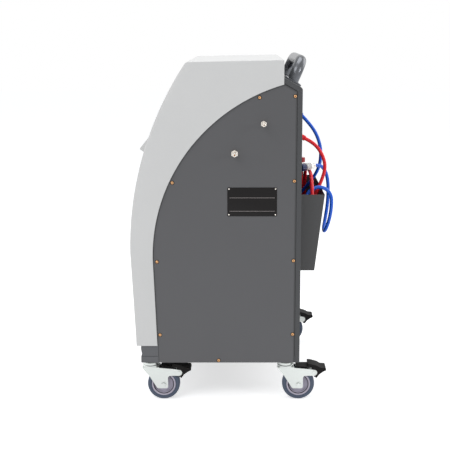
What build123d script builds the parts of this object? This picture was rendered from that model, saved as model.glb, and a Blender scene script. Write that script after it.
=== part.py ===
from build123d import *
import math
import os

# Mobile air conditioning recharge station, modelled in millimetres.
# Modelling frame: the rear face of the cabinet is x = 0, the front faces -X, the floor is z = 0
# and y = 0 is the middle of the cabinet. "Right" is the side at -Y, as an operator who faces
# the console sees it. The written parts are moved so that the origin is the middle of the floor.

os.makedirs("parts", exist_ok=True)

# Driving dimensions: cabinet
cabinet_width = 600.0
cabinet_bottom = 131.0
tray_height = 20.0
tray_floor = 3.0
sheet = 1.5
tray_front_x = -483.5
panel_front_x = -430.5
shell_bottom = 186.0
kick_return = 30.0

# Driving dimensions: moulded front shell
shell_wall = 4.0
front_x = -509.5
front_radius = 1010.0
belt_height = 478.0
toe_x = -496.7
hood_front_height = 1041.7
hood_rear_height = 1047.0
hood_rear_x = -54.2
hood_corner_radius = 18.0
shell_edge_radius = 2.5
shell_floor_depth = 40.0

# Driving dimensions: edge between the light shell and the dark side panel
sweep_radius = 538.0
sweep_centre_x = 95.5
sweep_centre_height = 460.0
sweep_toe_x = -433.1
panel_tuck = 18.0

# Driving dimensions: rear cover
rear_flange = 14.5
rear_top_height = 965.8
rear_slant = 29.5
rear_bend_radius = 10.0
seam_gap = 1.0

# Driving dimensions: chassis
tube_size = 20.0
frame_gap = 2.0
chassis_front_x = -429.0
chassis_knee_height = 640.0
chassis_brow_x = -124.5
chassis_brow_height = 939.0
chassis_rear_x = -24.0
shelf_height = 640.0
shelf_front_x = -405.0
shelf_edge = 15.0

# Driving dimensions: console deck
deck_lean = 38.5
lip_x = -476.5
lip_height = 788.0
deck_half_width = cabinet_width / 2 - 16
deck_thickness = 3.0
lip_return = 28.0
fascia_bottom = 1018.0
side_clearance = 0.3
seat_gap = 0.3

# Driving dimensions: console instruments
display_width = 150.0
display_height = 84.0
display_v = 215.0
lens_proud = 0.8
board_width = 230.0
board_height = 170.0
board_thickness = 1.6
board_standoff = 12.0
board_v = 180.0
button_radius = 7.0
button_proud = 3.5
button_travel = 1.5
button_pitch = 32.0
button_v = 125.0
button_stem_radius = 3.0
switch_size = 12.0
switch_depth = 7.0
gauge_v = 205.0
gauge_u = deck_half_width - 99
gauge_radius = 38.0
gauge_depth = 26.0
bezel_radius = 42.0
bezel_height = 3.5
dial_radius = 34.0
dial_depth = 3.0
glass_radius = 36.0
glass_thickness = 1.8
needle_length = 28.0
needle_hub_radius = 4.0
needle_thickness = 1.0
needle_pin_radius = 1.5
needle_rest_angle = 225.0

# Driving dimensions: running fits
button_clearance = 0.3
shaft_clearance = 0.05

# Driving dimensions: push handle
handle_radius = 17.5
handle_wall = 2.0
handle_half_span = 200.0
handle_foot_x = -25.5
handle_bar_x = 1.0
handle_bar_height = 1040.0
handle_bend_radius = 45.0
flange_length = 54.0
flange_width = 74.0
flange_thickness = 4.0

# Driving dimensions: hose holder on the back
holder_half_width = 190.0
holder_bottom = 393.0
holder_top = 634.0
holder_depth_top = 79.5
holder_depth_bottom = 50.5
holder_wall = 1.5

# Driving dimensions: hoses and their coils
hose_diameter = 11.5
hose_pitch = 11.9
red_coil_half_width = 180.0
red_coil_height = 295.0
red_coil_bend = 110.0
red_stub = 60.0
blue_coil_half_width = 170.75
blue_coil_height = 145.7
blue_coil_bend = 60.0
blue_stub = 42.0
inner_stub_start = -40.0
inner_stub_end = 10.0
inner_stub_dip = 0.03
coil_back_gap = 0.3
coil_gap = 0.3
coil_floor_gap = 0.3

# Driving dimensions: hose ports on the rear cover
port_neck_radius = 8.0
port_flange_radius = 21.0
port_flange_thickness = 4.0
port_nut_flats = 24.0
port_nut_length = 9.0
elbow_x = 11.0
elbow_radius = 9.0
ferrule_radius = 8.5
ferrule_length = 16.0
red_port = {"y": -60.0, "z": 799.0, "drop": 26.0}
blue_port = {"y": 60.0, "z": 866.0, "drop": 46.0}

# Driving dimensions: couplers
coupler_radius = 12.0
coupler_knob_radius = 13.0

# Driving dimensions: service fittings on the right side panel
fitting_reach = 40.0
fitting_nut_thickness = 10.0
low_fitting = {"x": -197.1, "z": 776.6, "flats": 19.0, "stem": 6.0}
high_fitting = {"x": -112.3, "z": 863.4, "flats": 16.0, "stem": 5.5}

# Driving dimensions: data plate and panel screws
plate_left_x = -218.8
plate_right_x = -72.2
plate_bottom = 588.8
plate_top = 675.2
plate_thickness = 1.0
rivet_inset = 4.5
rivet_radius = 2.2
rivet_height = 1.2
screw_head_radius = 4.4
screw_head_height = 2.6
screw_shank_radius = 2.0
screw_hole_radius = 2.2
screw_places = (
    (-124.5, 939.0), (-21.5, 942.9), (-21.5, 694.3), (-21.5, 452.8), (-21.5, 221.8),
    (-246.7, 138.4), (-424.8, 219.9), (-430.0, 449.1), (-380.8, 689.2),
)

# Driving dimensions: fan, power inlet and rocker switch on the rear cover
fan_y = -130.0
fan_height = 270.0
fan_size = 150.0
fan_depth = 38.0
fan_bore_radius = 68.0
fan_tip_gap = 2.0
fan_hub_radius = 22.0
fan_shaft_radius = 2.0
fan_blades = 7
guard_thickness = 2.5
guard_rings = 5
guard_ring_width = 3.0
inlet_y = 150.0
inlet_height = 230.0
inlet_width = 62.0
inlet_tall = 34.0
inlet_depth = 28.0
rocker_width = 13.0
rocker_tall = 17.0
rocker_angle = 10.0

# Driving dimensions: casters, placed from the swivel axis, the wheel trailing to the rear
caster_half_span = cabinet_width / 2 - 45
caster_front_x = -458.5
caster_rear_x = -40.5
wheel_radius = 50.0
wheel_width = 28.0
wheel_trail = 40.0
tread_thickness = 14.0
hub_face_width = 31.4
axle_radius = 4.0
disc_radius = 23.0
disc_bottom = 113.5
disc_top = 121.0
neck_radius = 13.0
race_radius = 25.0
kingpin_radius = 6.0
kingpin_nut_flats = 19.0
kingpin_hole_radius = 6.5
fork_half_width = 19.0
fork_sheet = 2.5
crown_height = 106.5
brake_pivot_x = 88.0
brake_pivot_height = 89.0
brake_pin_radius = 4.0
pedal_half_width = 22.0
pedal_tip_x = 125.5
brake_angle = 12.0

# Derived places
half_width = cabinet_width / 2
panel_face = half_width - shell_wall
panel_inner = panel_face - sheet
tray_top = cabinet_bottom + tray_height
floor_top = cabinet_bottom + tray_floor
front_centre_x = front_x + front_radius
slant = math.radians(rear_slant)
slant_top_height = rear_top_height - hood_rear_x * math.tan(slant)
row_origin = Vector(
    (front_x + caster_rear_x + pedal_tip_x) / 2,
    (half_width - (panel_face + fitting_reach)) / 2,
    0,
)
sides = {"right": -1, "left": 1}


def write(name, shape):
    """Write one sub-part in the frame of the finished object."""
    export_step(Pos(-row_origin.X, -row_origin.Y, 0) * shape, f"parts/{name}.step")


def slab(face, y0, y1):
    """Thicken a face drawn in x and height, from y0 to y1."""
    plane = Plane(origin=(0, y1, 0), x_dir=(1, 0, 0), z_dir=(0, -1, 0))
    return extrude(plane * face, y1 - y0)


def outline(*points):
    """A face with straight edges."""
    return make_face(Polyline(*points, close=True))


def block(x0, x1, y0, y1, z0, z1):
    """A box from its limits."""
    centre = ((x0 + x1) / 2, (y0 + y1) / 2, (z0 + z1) / 2)
    return Pos(*centre) * Box(x1 - x0, y1 - y0, z1 - z0)


def rod(radius, start, end):
    """A round bar between two points."""
    start, end = Vector(*start), Vector(*end)
    plane = Plane(origin=start, z_dir=(end - start).normalized())
    return extrude(plane * Circle(radius), (end - start).length)


def prism(flats, start, end):
    """A hexagon bar between two points, a corner of it upwards where it lies level."""
    start, end = Vector(*start), Vector(*end)
    along = (end - start).normalized()
    across = Vector(0, 0, 1) if abs(along.Z) < 0.5 else Vector(1, 0, 0)
    plane = Plane(origin=start, x_dir=across, z_dir=along)
    return extrude(plane * RegularPolygon(flats / 2, 6, major_radius=False), (end - start).length)


def nearest(vertices, x, z):
    """The drawn vertex that is nearest to a place in x and height."""
    return min(vertices, key=lambda v: math.hypot(v.X - x, v.Y - z))


# Front shell: a band 4 mm thick across the front and top, and two cheeks
def front_arc_x(height, inset=0.0):
    """x of the curved front at a height, or of the surface lying inset behind it."""
    radius = front_radius - inset
    return front_centre_x - math.sqrt(radius**2 - (height - belt_height) ** 2)


def hood_face(inset, bottom):
    """Side outline of the shell, closed by its rear edge, offset inwards by inset."""
    top_front = hood_front_height - inset
    top_rear = hood_rear_height - inset
    corner_x = front_arc_x(top_front, inset)
    middle = (top_front + belt_height) / 2
    rear_x = hood_rear_x - inset
    edges = Line((toe_x + inset, bottom), (front_x + inset, belt_height))
    edges += ThreePointArc(
        (front_x + inset, belt_height), (front_arc_x(middle, inset), middle), (corner_x, top_front)
    )
    edges += Polyline(
        (corner_x, top_front), (rear_x, top_rear), (rear_x, bottom), (toe_x + inset, bottom)
    )
    face = make_face(edges)
    corner = nearest(face.vertices(), corner_x, top_front)
    return fillet(corner, hood_corner_radius - inset)


def sweep_face(grow, bottom):
    """The dark side's outline inside the swept edge, grown outwards by grow."""
    radius = sweep_radius + grow
    left = sweep_centre_x - radius
    right = hood_rear_x + grow if grow == 0 else -rear_flange - seam_gap
    top = sweep_centre_height + math.sqrt(radius**2 - (right - sweep_centre_x) ** 2)
    turn = math.radians(135)
    middle = (
        sweep_centre_x + radius * math.cos(turn),
        sweep_centre_height + radius * math.sin(turn),
    )
    edges = ThreePointArc((right, top), middle, (left, sweep_centre_height))
    edges += Polyline(
        (left, sweep_centre_height), (sweep_toe_x - grow, bottom), (right, bottom), (right, top)
    )
    return make_face(edges)


def deck_point(out, up):
    """x and height of a place on the deck: out of it, and up along it from the lip."""
    lean = math.radians(deck_lean)
    return (
        lip_x - out * math.cos(lean) + up * math.sin(lean),
        lip_height + out * math.sin(lean) + up * math.cos(lean),
    )


def deck_plane():
    """The deck's plane: u to the operator's right, v up the deck, w out of it."""
    lean = math.radians(deck_lean)
    return Plane(
        origin=(lip_x, 0, lip_height),
        x_dir=(0, -1, 0),
        z_dir=(-math.cos(lean), 0, math.sin(lean)),
    )


# The deck ends just under the hood's top wall
deck_length = (hood_front_height - shell_wall - lip_height) / math.cos(math.radians(deck_lean))


def front_shell():
    whole = hood_face(0, shell_bottom)
    cheek = whole - sweep_face(0, shell_bottom - 1)
    shell = slab(cheek, -half_width, half_width)
    rim = [e for e in shell.edges() if abs(abs(e.center().Y) - half_width) < 0.01]
    skin_edges = [
        e for e in rim
        if e.center().X < hood_rear_x - 1
        and math.hypot(e.center().X - sweep_centre_x, e.center().Z - sweep_centre_height)
        > sweep_radius + 20
        and e.center().Z > shell_bottom + 1
    ]
    shell = fillet(skin_edges, shell_edge_radius)
    hollow = hood_face(shell_wall, shell_bottom + shell_wall)
    shell -= slab(hollow, -panel_face, panel_face)
    floor_end = toe_x + shell_floor_depth
    shell -= block(floor_end, 0, -panel_face, panel_face, shell_bottom - 1, belt_height)
    wall_foot = slant_height(hood_rear_x - shell_wall, rear_flange) + side_clearance
    shell -= block(hood_rear_x - 2 * shell_wall, 0, -panel_face, panel_face,
                   wall_foot - 20, wall_foot)
    # The console opening, with a liner wall beside each cheek
    reach = 60.0
    behind = 9.0
    far = fascia_bottom / math.cos(math.radians(deck_lean))
    mouth = outline(
        deck_point(reach, 0), deck_point(-reach, 0), (hood_rear_x - 100, fascia_bottom - 120),
        (hood_rear_x - 100, fascia_bottom), (front_x - reach, fascia_bottom),
    )
    shell -= slab(mouth, -deck_half_width, deck_half_width)
    front_of_deck = outline(
        deck_point(reach, 0), deck_point(-behind, 0), deck_point(-behind, far), deck_point(far, far)
    )
    liner = hood_face(shell_wall / 2, shell_bottom) & front_of_deck
    for side in sides.values():
        near = side * deck_half_width
        far_y = side * (deck_half_width + shell_wall)
        shell += slab(liner, min(near, far_y), max(near, far_y))
    return shell


def console_panel():
    lip = deck_point(0, 0)
    section = outline(
        lip, deck_point(0, deck_length), deck_point(-deck_thickness, deck_length),
        deck_point(-deck_thickness, deck_thickness), deck_point(-lip_return, deck_thickness),
        deck_point(-lip_return, 0),
    )
    half = deck_half_width - side_clearance
    panel = slab(section, -half, half)
    cutter = Rectangle(display_width + 2 * side_clearance, display_height + 2 * side_clearance)
    panel -= deck_plane() * Pos(0, display_v, 0) * extrude(cutter, 10, both=True)
    for u in button_places():
        hole = Cylinder(button_radius + button_clearance, 20)
        panel -= deck_plane() * Pos(u, button_v, 0) * hole
    for u in (-gauge_u, gauge_u):
        hole = Cylinder(gauge_radius + side_clearance, 20)
        panel -= deck_plane() * Pos(u, gauge_v, 0) * hole
    return panel


def button_places():
    """Sideways places of the four menu buttons."""
    return [(i - 1.5) * button_pitch for i in range(4)]


# Console instruments, each drawn on the deck's plane
def display_lens():
    thickness = deck_thickness + lens_proud
    lens = Box(display_width, display_height, thickness)
    lens = fillet(lens.edges().filter_by(Axis.Z), 4)
    return deck_plane() * Pos(0, display_v, lens_proud - thickness / 2) * lens


def control_board():
    """Printed board with the display module, button switches and standoffs."""
    back = -deck_thickness
    board_front = back - board_standoff
    board = Pos(0, board_v, board_front - board_thickness / 2) * Box(
        board_width, board_height, board_thickness
    )
    for u in (-1, 1):
        for v in (-1, 1):
            place = (u * (board_width / 2 - 8), board_v + v * (board_height / 2 - 8))
            board += Pos(*place, back - board_standoff / 2) * Cylinder(4, board_standoff)
    for u in button_places():
        switch = Pos(u, button_v, board_front + switch_depth / 2) * Box(
            switch_size, switch_size, switch_depth
        )
        bore = Cylinder(button_stem_radius + 2 * shaft_clearance, switch_depth)
        board += switch - Pos(u, button_v, board_front + switch_depth / 2 + 2) * bore
    module = Pos(0, display_v, back - board_standoff / 2) * Box(
        display_width + 14, display_height + 14, board_standoff
    )
    return deck_plane() * (board + module)


def menu_button(u):
    """Domed cap on a stem that runs in the switch on the board."""
    cap_bottom = -deck_thickness + 1
    cap = Pos(0, 0, (button_proud + cap_bottom) / 2) * Cylinder(
        button_radius, button_proud - cap_bottom
    )
    cap = fillet(cap.edges().group_by(Axis.Z)[-1], 1.5)
    stem_end = -deck_thickness - board_standoff + 2 + button_travel + 0.5
    stem = Pos(0, 0, (cap_bottom + stem_end) / 2) * Cylinder(
        button_stem_radius, cap_bottom - stem_end
    )
    return deck_plane() * Pos(u, button_v, 0) * (cap + stem)


def gauge_case(u):
    """Round case with a bezel, an open dial well and the needle's pin."""
    case = Pos(0, 0, -gauge_depth / 2) * Cylinder(gauge_radius, gauge_depth)
    case += Pos(0, 0, bezel_height / 2) * Cylinder(bezel_radius, bezel_height)
    case = fillet(case.edges().group_by(Axis.Z)[-1], 1.2)
    well = dial_depth + bezel_height
    case -= Pos(0, 0, -dial_depth + well / 2) * Cylinder(dial_radius, well)
    seat = glass_thickness + 0.2
    case -= Pos(0, 0, bezel_height - seat / 2) * Cylinder(glass_radius + 0.2, seat)
    pin_top = -dial_depth + 2.6
    case += Pos(0, 0, (pin_top - dial_depth) / 2) * Cylinder(
        needle_pin_radius, pin_top + dial_depth
    )
    return deck_plane() * Pos(u, gauge_v, 0) * case


def gauge_glass(u):
    top = bezel_height - 0.2
    glass = Cylinder(glass_radius, glass_thickness)
    return deck_plane() * Pos(u, gauge_v, top - glass_thickness / 2) * glass


def needle(u):
    """Pointer with a hub that turns on the dial's pin, resting at the dial's zero."""
    hub_bottom = -dial_depth + seat_gap
    hub = Pos(0, 0, hub_bottom + 1) * Cylinder(needle_hub_radius, 2)
    pointer = outline((2, -1.4), (needle_length, -0.4), (needle_length, 0.4), (2, 1.4))
    tail = outline((-9, -2), (-2, -1.4), (-2, 1.4), (-9, 2))
    blade = Pos(0, 0, hub_bottom) * (
        extrude(pointer, needle_thickness) + extrude(tail, needle_thickness)
    )
    body = hub + blade - Cylinder(needle_pin_radius + shaft_clearance, 20)
    return deck_plane() * Pos(u, gauge_v, 0) * Rot(0, 0, needle_rest_angle) * body


# Sheet metal: tray, kick panel, side panels and rear cover
def base_frame():
    rear = -sheet
    wide_front = panel_front_x - side_clearance
    tray = block(panel_front_x, rear, -panel_inner, panel_inner, cabinet_bottom, tray_top)
    tray += block(tray_front_x, wide_front, -panel_face, panel_face, cabinet_bottom, tray_top)
    tray += block(wide_front, panel_front_x, -panel_inner, panel_inner, cabinet_bottom, tray_top)
    inner = panel_inner - 2
    tray -= block(tray_front_x + 2, rear - 2, -inner, inner, floor_top, tray_top + 1)
    for x, y in caster_places().values():
        tray -= Pos(x, y, cabinet_bottom) * Cylinder(kingpin_hole_radius, 4 * tray_floor)
    return tray


def kick_panel():
    front = tray_front_x
    panel = block(front, panel_front_x - side_clearance, -panel_face, panel_face,
                  tray_top, shell_bottom)
    hollow = panel_face - sheet
    panel -= block(front + sheet, 0, -hollow, hollow, tray_top - 1, shell_bottom - sheet)
    panel -= block(front + kick_return, 0, -hollow, hollow, tray_top - 1, shell_bottom + 1)
    # The end walls lean in towards the floor at the front
    lean = outline(
        (front - 1, tray_top - 1), (front + 4, tray_top - 1), (front - 1, shell_bottom - 6)
    )
    return panel - slab(lean, -half_width, half_width)


def slant_height(x, drop=0.0):
    """Height of the slanted top of the rear cover at x, or of a surface drop below it."""
    return rear_top_height - x * math.tan(slant) - drop / math.cos(slant)


def rear_cover():
    flange_x = -rear_flange
    edge_drop = rear_flange
    section = outline(
        (0, cabinet_bottom), (0, rear_top_height), (hood_rear_x, slant_height(hood_rear_x)),
        (hood_rear_x, slant_height(hood_rear_x, edge_drop)),
        (flange_x, slant_height(flange_x, edge_drop)), (flange_x, cabinet_bottom),
    )
    section = fillet(nearest(section.vertices(), 0, rear_top_height), rear_bend_radius)
    cover = slab(section, -panel_face, panel_face)
    inner = outline(
        (-sheet, cabinet_bottom - 1), (-sheet, slant_height(-sheet, sheet)),
        (hood_rear_x - 1, slant_height(hood_rear_x - 1, sheet)),
        (hood_rear_x - 1, cabinet_bottom - 1),
    )
    inner = fillet(
        nearest(inner.vertices(), -sheet, slant_height(-sheet, sheet)), rear_bend_radius - sheet
    )
    cover -= slab(inner, -panel_face + sheet, panel_face - sheet)
    # Openings: fan, power inlet and the two hose ports
    fan_hole = fan_bore_radius
    cover -= rod(fan_hole, (-10, fan_y, fan_height), (10, fan_y, fan_height))
    half_w = inlet_width / 2 - 4
    half_t = inlet_tall / 2 - 4
    cover -= block(-10, 10, inlet_y - half_w, inlet_y + half_w,
                   inlet_height - half_t, inlet_height + half_t)
    for port in (red_port, blue_port):
        cover -= rod(port_neck_radius + side_clearance, (-10, port["y"], port["z"]),
                     (10, port["y"], port["z"]))
    return cover


def side_panel(side):
    """Side sheet with folded lower and rear edges; its front edge tucks under the cheek."""
    face = sweep_face(panel_tuck, cabinet_bottom)
    corner = outline(
        (front_x, cabinet_bottom - 1), (panel_front_x, cabinet_bottom - 1),
        (panel_front_x, shell_bottom + side_clearance), (front_x, shell_bottom + side_clearance),
    )
    keep = hood_face(shell_wall + 1, shell_bottom) + outline(
        (hood_rear_x - 10, cabinet_bottom), (0, cabinet_bottom), (0, 1200),
        (hood_rear_x - 10, 1200),
    ) + outline(
        (panel_front_x, cabinet_bottom), (0, cabinet_bottom), (0, shell_bottom + 5),
        (panel_front_x, shell_bottom + 5),
    )
    rear_top = outline(
        (hood_rear_x - 6, slant_height(hood_rear_x - 6, rear_flange + seam_gap)),
        (0, slant_height(0, rear_flange + seam_gap)), (0, 1300), (hood_rear_x - 6, 1300),
    )
    face = (face & keep) - corner - rear_top
    y0, y1 = sorted((side * panel_face, side * panel_inner))
    panel = slab(face, y0, y1)
    for x, z in screw_places:
        panel -= rod(screw_hole_radius, (x, y0 - 1, z), (x, y1 + 1, z))
    if side == sides["right"]:
        for fitting in (low_fitting, high_fitting):
            place = (fitting["x"], fitting["z"])
            panel -= rod(fitting["stem"] + side_clearance, (place[0], y0 - 1, place[1]),
                         (place[0], y1 + 1, place[1]))
    return panel


# Chassis: two welded side loops of square tube, cross rails and a shelf
def chassis_frame():
    half_tube = tube_size / 2
    low = floor_top + half_tube
    loop = outline(
        (chassis_front_x, low), (chassis_front_x, chassis_knee_height),
        (chassis_brow_x, chassis_brow_height), (chassis_rear_x, chassis_brow_height),
        (chassis_rear_x, low),
    )
    band = offset(loop, half_tube, kind=Kind.INTERSECTION)
    band -= offset(loop, -half_tube, kind=Kind.INTERSECTION)
    outer = panel_inner - frame_gap
    frame = slab(band, outer - tube_size, outer)
    frame += slab(band, -outer, -outer + tube_size)
    # Cross rails at the knee, at the brow and at the rear top
    for x, z in ((chassis_front_x, chassis_knee_height), (chassis_brow_x, chassis_brow_height),
                 (chassis_rear_x, chassis_brow_height)):
        frame += block(x - half_tube, x + half_tube, -outer, outer, z - half_tube, z + half_tube)
    # Shelf with turned-down edges
    shelf = block(shelf_front_x, chassis_rear_x, -outer + 1, outer - 1,
                  shelf_height, shelf_height + 2)
    shelf += block(shelf_front_x, shelf_front_x + 2, -outer + 1, outer - 1,
                   shelf_height - shelf_edge, shelf_height)
    frame += shelf
    return frame


# Push handle: bent tube on two flange plates that lie on the slanted top
def push_handle():
    foot_height = slant_height(handle_foot_x)
    bar = (handle_bar_x, handle_bar_height)
    along = Vector(bar[0] - handle_foot_x, 0, bar[1] - foot_height).normalized()
    low = Vector(handle_foot_x, 0, foot_height) - along * handle_radius
    near, far = -handle_half_span, handle_half_span
    path = FilletPolyline(
        (low.X, near, low.Z), (bar[0], near, bar[1]), (bar[0], far, bar[1]), (low.X, far, low.Z),
        radius=handle_bend_radius,
    )
    start = Plane(origin=path @ 0, z_dir=path % 0)
    tube = sweep(start * Circle(handle_radius), path=path)
    tube -= sweep(start * Circle(handle_radius - handle_wall), path=path)
    lift = flange_thickness
    below = outline(
        (-300, slant_height(-300, -lift)), (200, slant_height(200, -lift)), (200, 500),
        (-300, 500),
    )
    tube -= slab(below, -half_width, half_width)
    handle = tube
    for side in sides.values():
        plane = Plane(
            origin=(handle_foot_x, side * handle_half_span, foot_height),
            x_dir=(math.cos(slant), 0, -math.sin(slant)),
            z_dir=(math.sin(slant), 0, math.cos(slant)),
        )
        plate = extrude(RectangleRounded(flange_length, flange_width, 8), flange_thickness)
        handle += plane * plate
    return handle


# Hose holder: open pocket with a sloped front wall
def holder_depth(height):
    """Depth of the pocket, from the rear cover to its outer wall, at a height."""
    share = (height - holder_bottom) / (holder_top - holder_bottom)
    return holder_depth_bottom + share * (holder_depth_top - holder_depth_bottom)


def hose_holder():
    outer = outline(
        (0, holder_bottom), (holder_depth_bottom, holder_bottom), (holder_depth_top, holder_top),
        (0, holder_top),
    )
    floor = holder_bottom + holder_wall
    inner = outline(
        (holder_wall, floor), (holder_depth(floor) - holder_wall, floor),
        (holder_depth(holder_top + 5) - holder_wall, holder_top + 5), (holder_wall, holder_top + 5),
    )
    pocket = slab(outer, -holder_half_width, holder_half_width)
    inside = holder_half_width - holder_wall
    return pocket - slab(inner, -inside, inside)


# Hose coils in the holder: each is the outer shape of two turns side by side
def racetrack(half_width, height, bend):
    """Closed band, one hose wide, around a rounded rectangle in y and height."""
    y, r = half_width, hose_diameter / 2
    outer = RectangleRounded(2 * y, height, bend + r)
    inner = RectangleRounded(2 * y - 4 * r, height - 4 * r, bend - r)
    return outer - inner


coil_thickness = hose_diameter + hose_pitch
coil_bottom = holder_bottom + holder_wall + coil_floor_gap
blue_coil_x0 = holder_wall + coil_back_gap
red_coil_x0 = blue_coil_x0 + coil_thickness + coil_gap


def layer_x(x0, layer):
    """x of a coil's layer, the first one against the cabinet."""
    return x0 + hose_diameter / 2 + layer * hose_pitch


def coil(x0, half_width, height, bend, stub_ends):
    """The coil's solid, with a straight stub up to each place where the hose leaves it."""
    plane = Plane(origin=(x0, 0, coil_bottom + height / 2), x_dir=(0, 1, 0), z_dir=(1, 0, 0))
    solid = extrude(plane * racetrack(half_width, height, bend), coil_thickness)
    base = coil_turn_height(height, bend)
    for x, y, z in stub_ends:
        solid += rod(hose_diameter / 2, (x, y, base - 20), (x, y, z))
    return solid


def coil_turn_height(height, bend):
    """Height at which the coil's straight side turns into its upper bend."""
    return coil_bottom + height - hose_diameter / 2 - bend


def stub_end(x0, half_width, height, bend, stub, layer, side):
    """Top of a stub, where the free hose or the coupler meets the coil."""
    return (
        layer_x(x0, layer),
        side * (half_width - hose_diameter / 2),
        coil_turn_height(height, bend) + stub,
    )


red_coil_size = (red_coil_x0, red_coil_half_width, red_coil_height, red_coil_bend)
blue_coil_size = (blue_coil_x0, blue_coil_half_width, blue_coil_height, blue_coil_bend)
red_in = (layer_x(red_coil_x0, 1), inner_stub_start, coil_bottom + 1.5 * hose_diameter + coil_gap)
red_out = stub_end(*red_coil_size, red_stub, 0, 1)
blue_in = stub_end(*blue_coil_size, blue_stub, 1, 1)
blue_out = stub_end(*blue_coil_size, blue_stub, 0, -1)


def port_way(port, distance):
    """A place along a port's ferrule and hose, at a distance from the middle of its elbow."""
    drop = math.radians(port["drop"])
    return (elbow_x + distance * math.cos(drop), port["y"], port["z"] - distance * math.sin(drop))


red_exit = port_way(red_port, ferrule_length)
blue_exit = port_way(blue_port, ferrule_length)
blue_coupler_end = (57.0, -46.0, coil_bottom + red_coil_height + coupler_radius + coil_floor_gap)
blue_coupler_turn = 43.0
blue_coupler_lead = (
    blue_coupler_end[0] + 17.0,
    blue_coupler_end[1] + 17.0 * math.tan(math.radians(blue_coupler_turn)),
    blue_coupler_end[2],
)

# Free stretches of the hoses, as points chosen along their way
red_route = [
    red_exit,
    port_way(red_port, ferrule_length + 22.0),
    (70.0, -61.0, 760.0),
    (87.0, -63.0, 727.0),
    (91.0, -66.0, 697.0),
    (83.0, -71.0, 668.0),
    (67.0, -79.0, 631.0),
    (54.0, -89.0, 595.0),
    (46.5, -100.0, 558.0),
    (43.5, -109.0, 520.0),
    (red_in[0], -112.0, 486.0),
    (red_in[0], -110.0, 455.0),
    (red_in[0], -95.0, red_in[2] + 15.0),
    (red_in[0], inner_stub_start - 28.0, red_in[2] + 28.0 * inner_stub_dip),
    red_in,
]
blue_route = [
    blue_exit,
    port_way(blue_port, ferrule_length + 40.0),
    (73.0, 60.0, 791.0),
    (86.0, 62.0, 752.0),
    (89.0, 67.0, 715.0),
    (84.0, 79.0, 676.0),
    (65.0, 98.0, 635.0),
    (43.0, 124.0, 602.0),
    (25.0, 149.0, 574.0),
    (blue_in[0], blue_in[1], 547.0),
    blue_in,
]
blue_tail_route = [
    blue_out,
    (blue_out[0], blue_out[1], 545.0),
    (12.0, -161.0, 577.0),
    (21.0, -155.0, 609.0),
    (34.2, -139.0, 636.0),
    (60.7, -128.0, 648.2),
    (88.9, -119.0, 641.4),
    (107.0, -113.0, 618.5),
    (109.0, -109.0, 590.0),
    (107.0, -105.0, 558.0),
    (101.0, -97.0, 525.0),
    (94.0, -79.0, 497.0),
    (91.0, -50.0, 486.0),
    (94.0, -20.0, 497.0),
    (101.0, -1.0, 525.0),
    (107.0, 5.0, 562.0),
    (109.0, 6.0, 600.0),
    (108.0, 4.0, 637.0),
    (102.0, -3.0, 669.0),
    (89.0, -15.0, 692.0),
    blue_coupler_lead,
    blue_coupler_end,
]


def route_radii(route):
    """Bend radius at each inner point: 0.45 of the shorter run over the tangent of half the turn."""
    points = [Vector(*p) for p in route]
    radii = []
    for before, here, after in zip(points, points[1:], points[2:]):
        run_in, run_out = here - before, after - here
        half_turn = math.radians(run_in.get_angle(run_out)) / 2
        radii.append(0.45 * min(run_in.length, run_out.length) / math.tan(half_turn))
    return radii


def hose(name, route):
    """Tube along straight runs joined by tangent arcs."""
    radii = route_radii(route)
    path = FilletPolyline(*route, radius=radii)
    section = Plane(origin=path @ 0, z_dir=path % 0) * Circle(hose_diameter / 2)
    tube = sweep(section, path=path)
    expected = math.pi * (hose_diameter / 2) ** 2 * path.length
    print(name, "radii", [round(r) for r in radii], "length", round(path.length),
          "volume ratio", round(tube.volume / expected, 4))
    return tube


# Ports, couplers and fittings
def hose_port(port):
    """Bulkhead fitting: inner nut, neck, round flange, and an elbow with a crimped ferrule."""
    y, z = port["y"], port["z"]
    part = rod(port_flange_radius, (0, y, z), (port_flange_thickness, y, z))
    part = chamfer(part.edges().group_by(Axis.X)[-1], 1)
    part += rod(port_neck_radius, (-sheet - port_nut_length - 4, y, z), (elbow_x, y, z))
    part += prism(port_nut_flats, (-sheet - port_nut_length, y, z), (-sheet, y, z))
    part += Pos(elbow_x, y, z) * Sphere(elbow_radius)
    ferrule = rod(ferrule_radius, port_way(port, 0), port_way(port, ferrule_length))
    for distance in (elbow_radius + 1.5, elbow_radius + 4.5):
        groove = rod(ferrule_radius + 1, port_way(port, distance), port_way(port, distance + 1.5))
        groove -= rod(ferrule_radius - 0.6, port_way(port, distance),
                      port_way(port, distance + 1.5))
        ferrule -= groove
    return part + ferrule


def coupler(plane):
    """Quick coupler from the hose end outwards: ferrule, hexagon, sleeve and handwheel."""
    body = Pos(0, 0, 7) * Cylinder(ferrule_radius, 14)
    body += extrude(Pos(0, 0, 14) * RegularPolygon(9.5, 6, major_radius=False), 7)
    body += Pos(0, 0, 21 + 11) * Cylinder(coupler_radius, 22)
    body += Pos(0, 0, 43 + 2.5) * Cylinder(7, 5)
    flutes = PolarLocations(coupler_knob_radius + 1, 10)
    knob = Pos(0, 0, 48 + 8) * Cylinder(coupler_knob_radius, 16)
    knob = fillet(knob.edges().group_by(Axis.Z)[-1], 2)
    for place in flutes:
        knob -= place * Pos(0, 0, 56) * Cylinder(2, 20)
    return plane * (body + knob)


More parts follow.
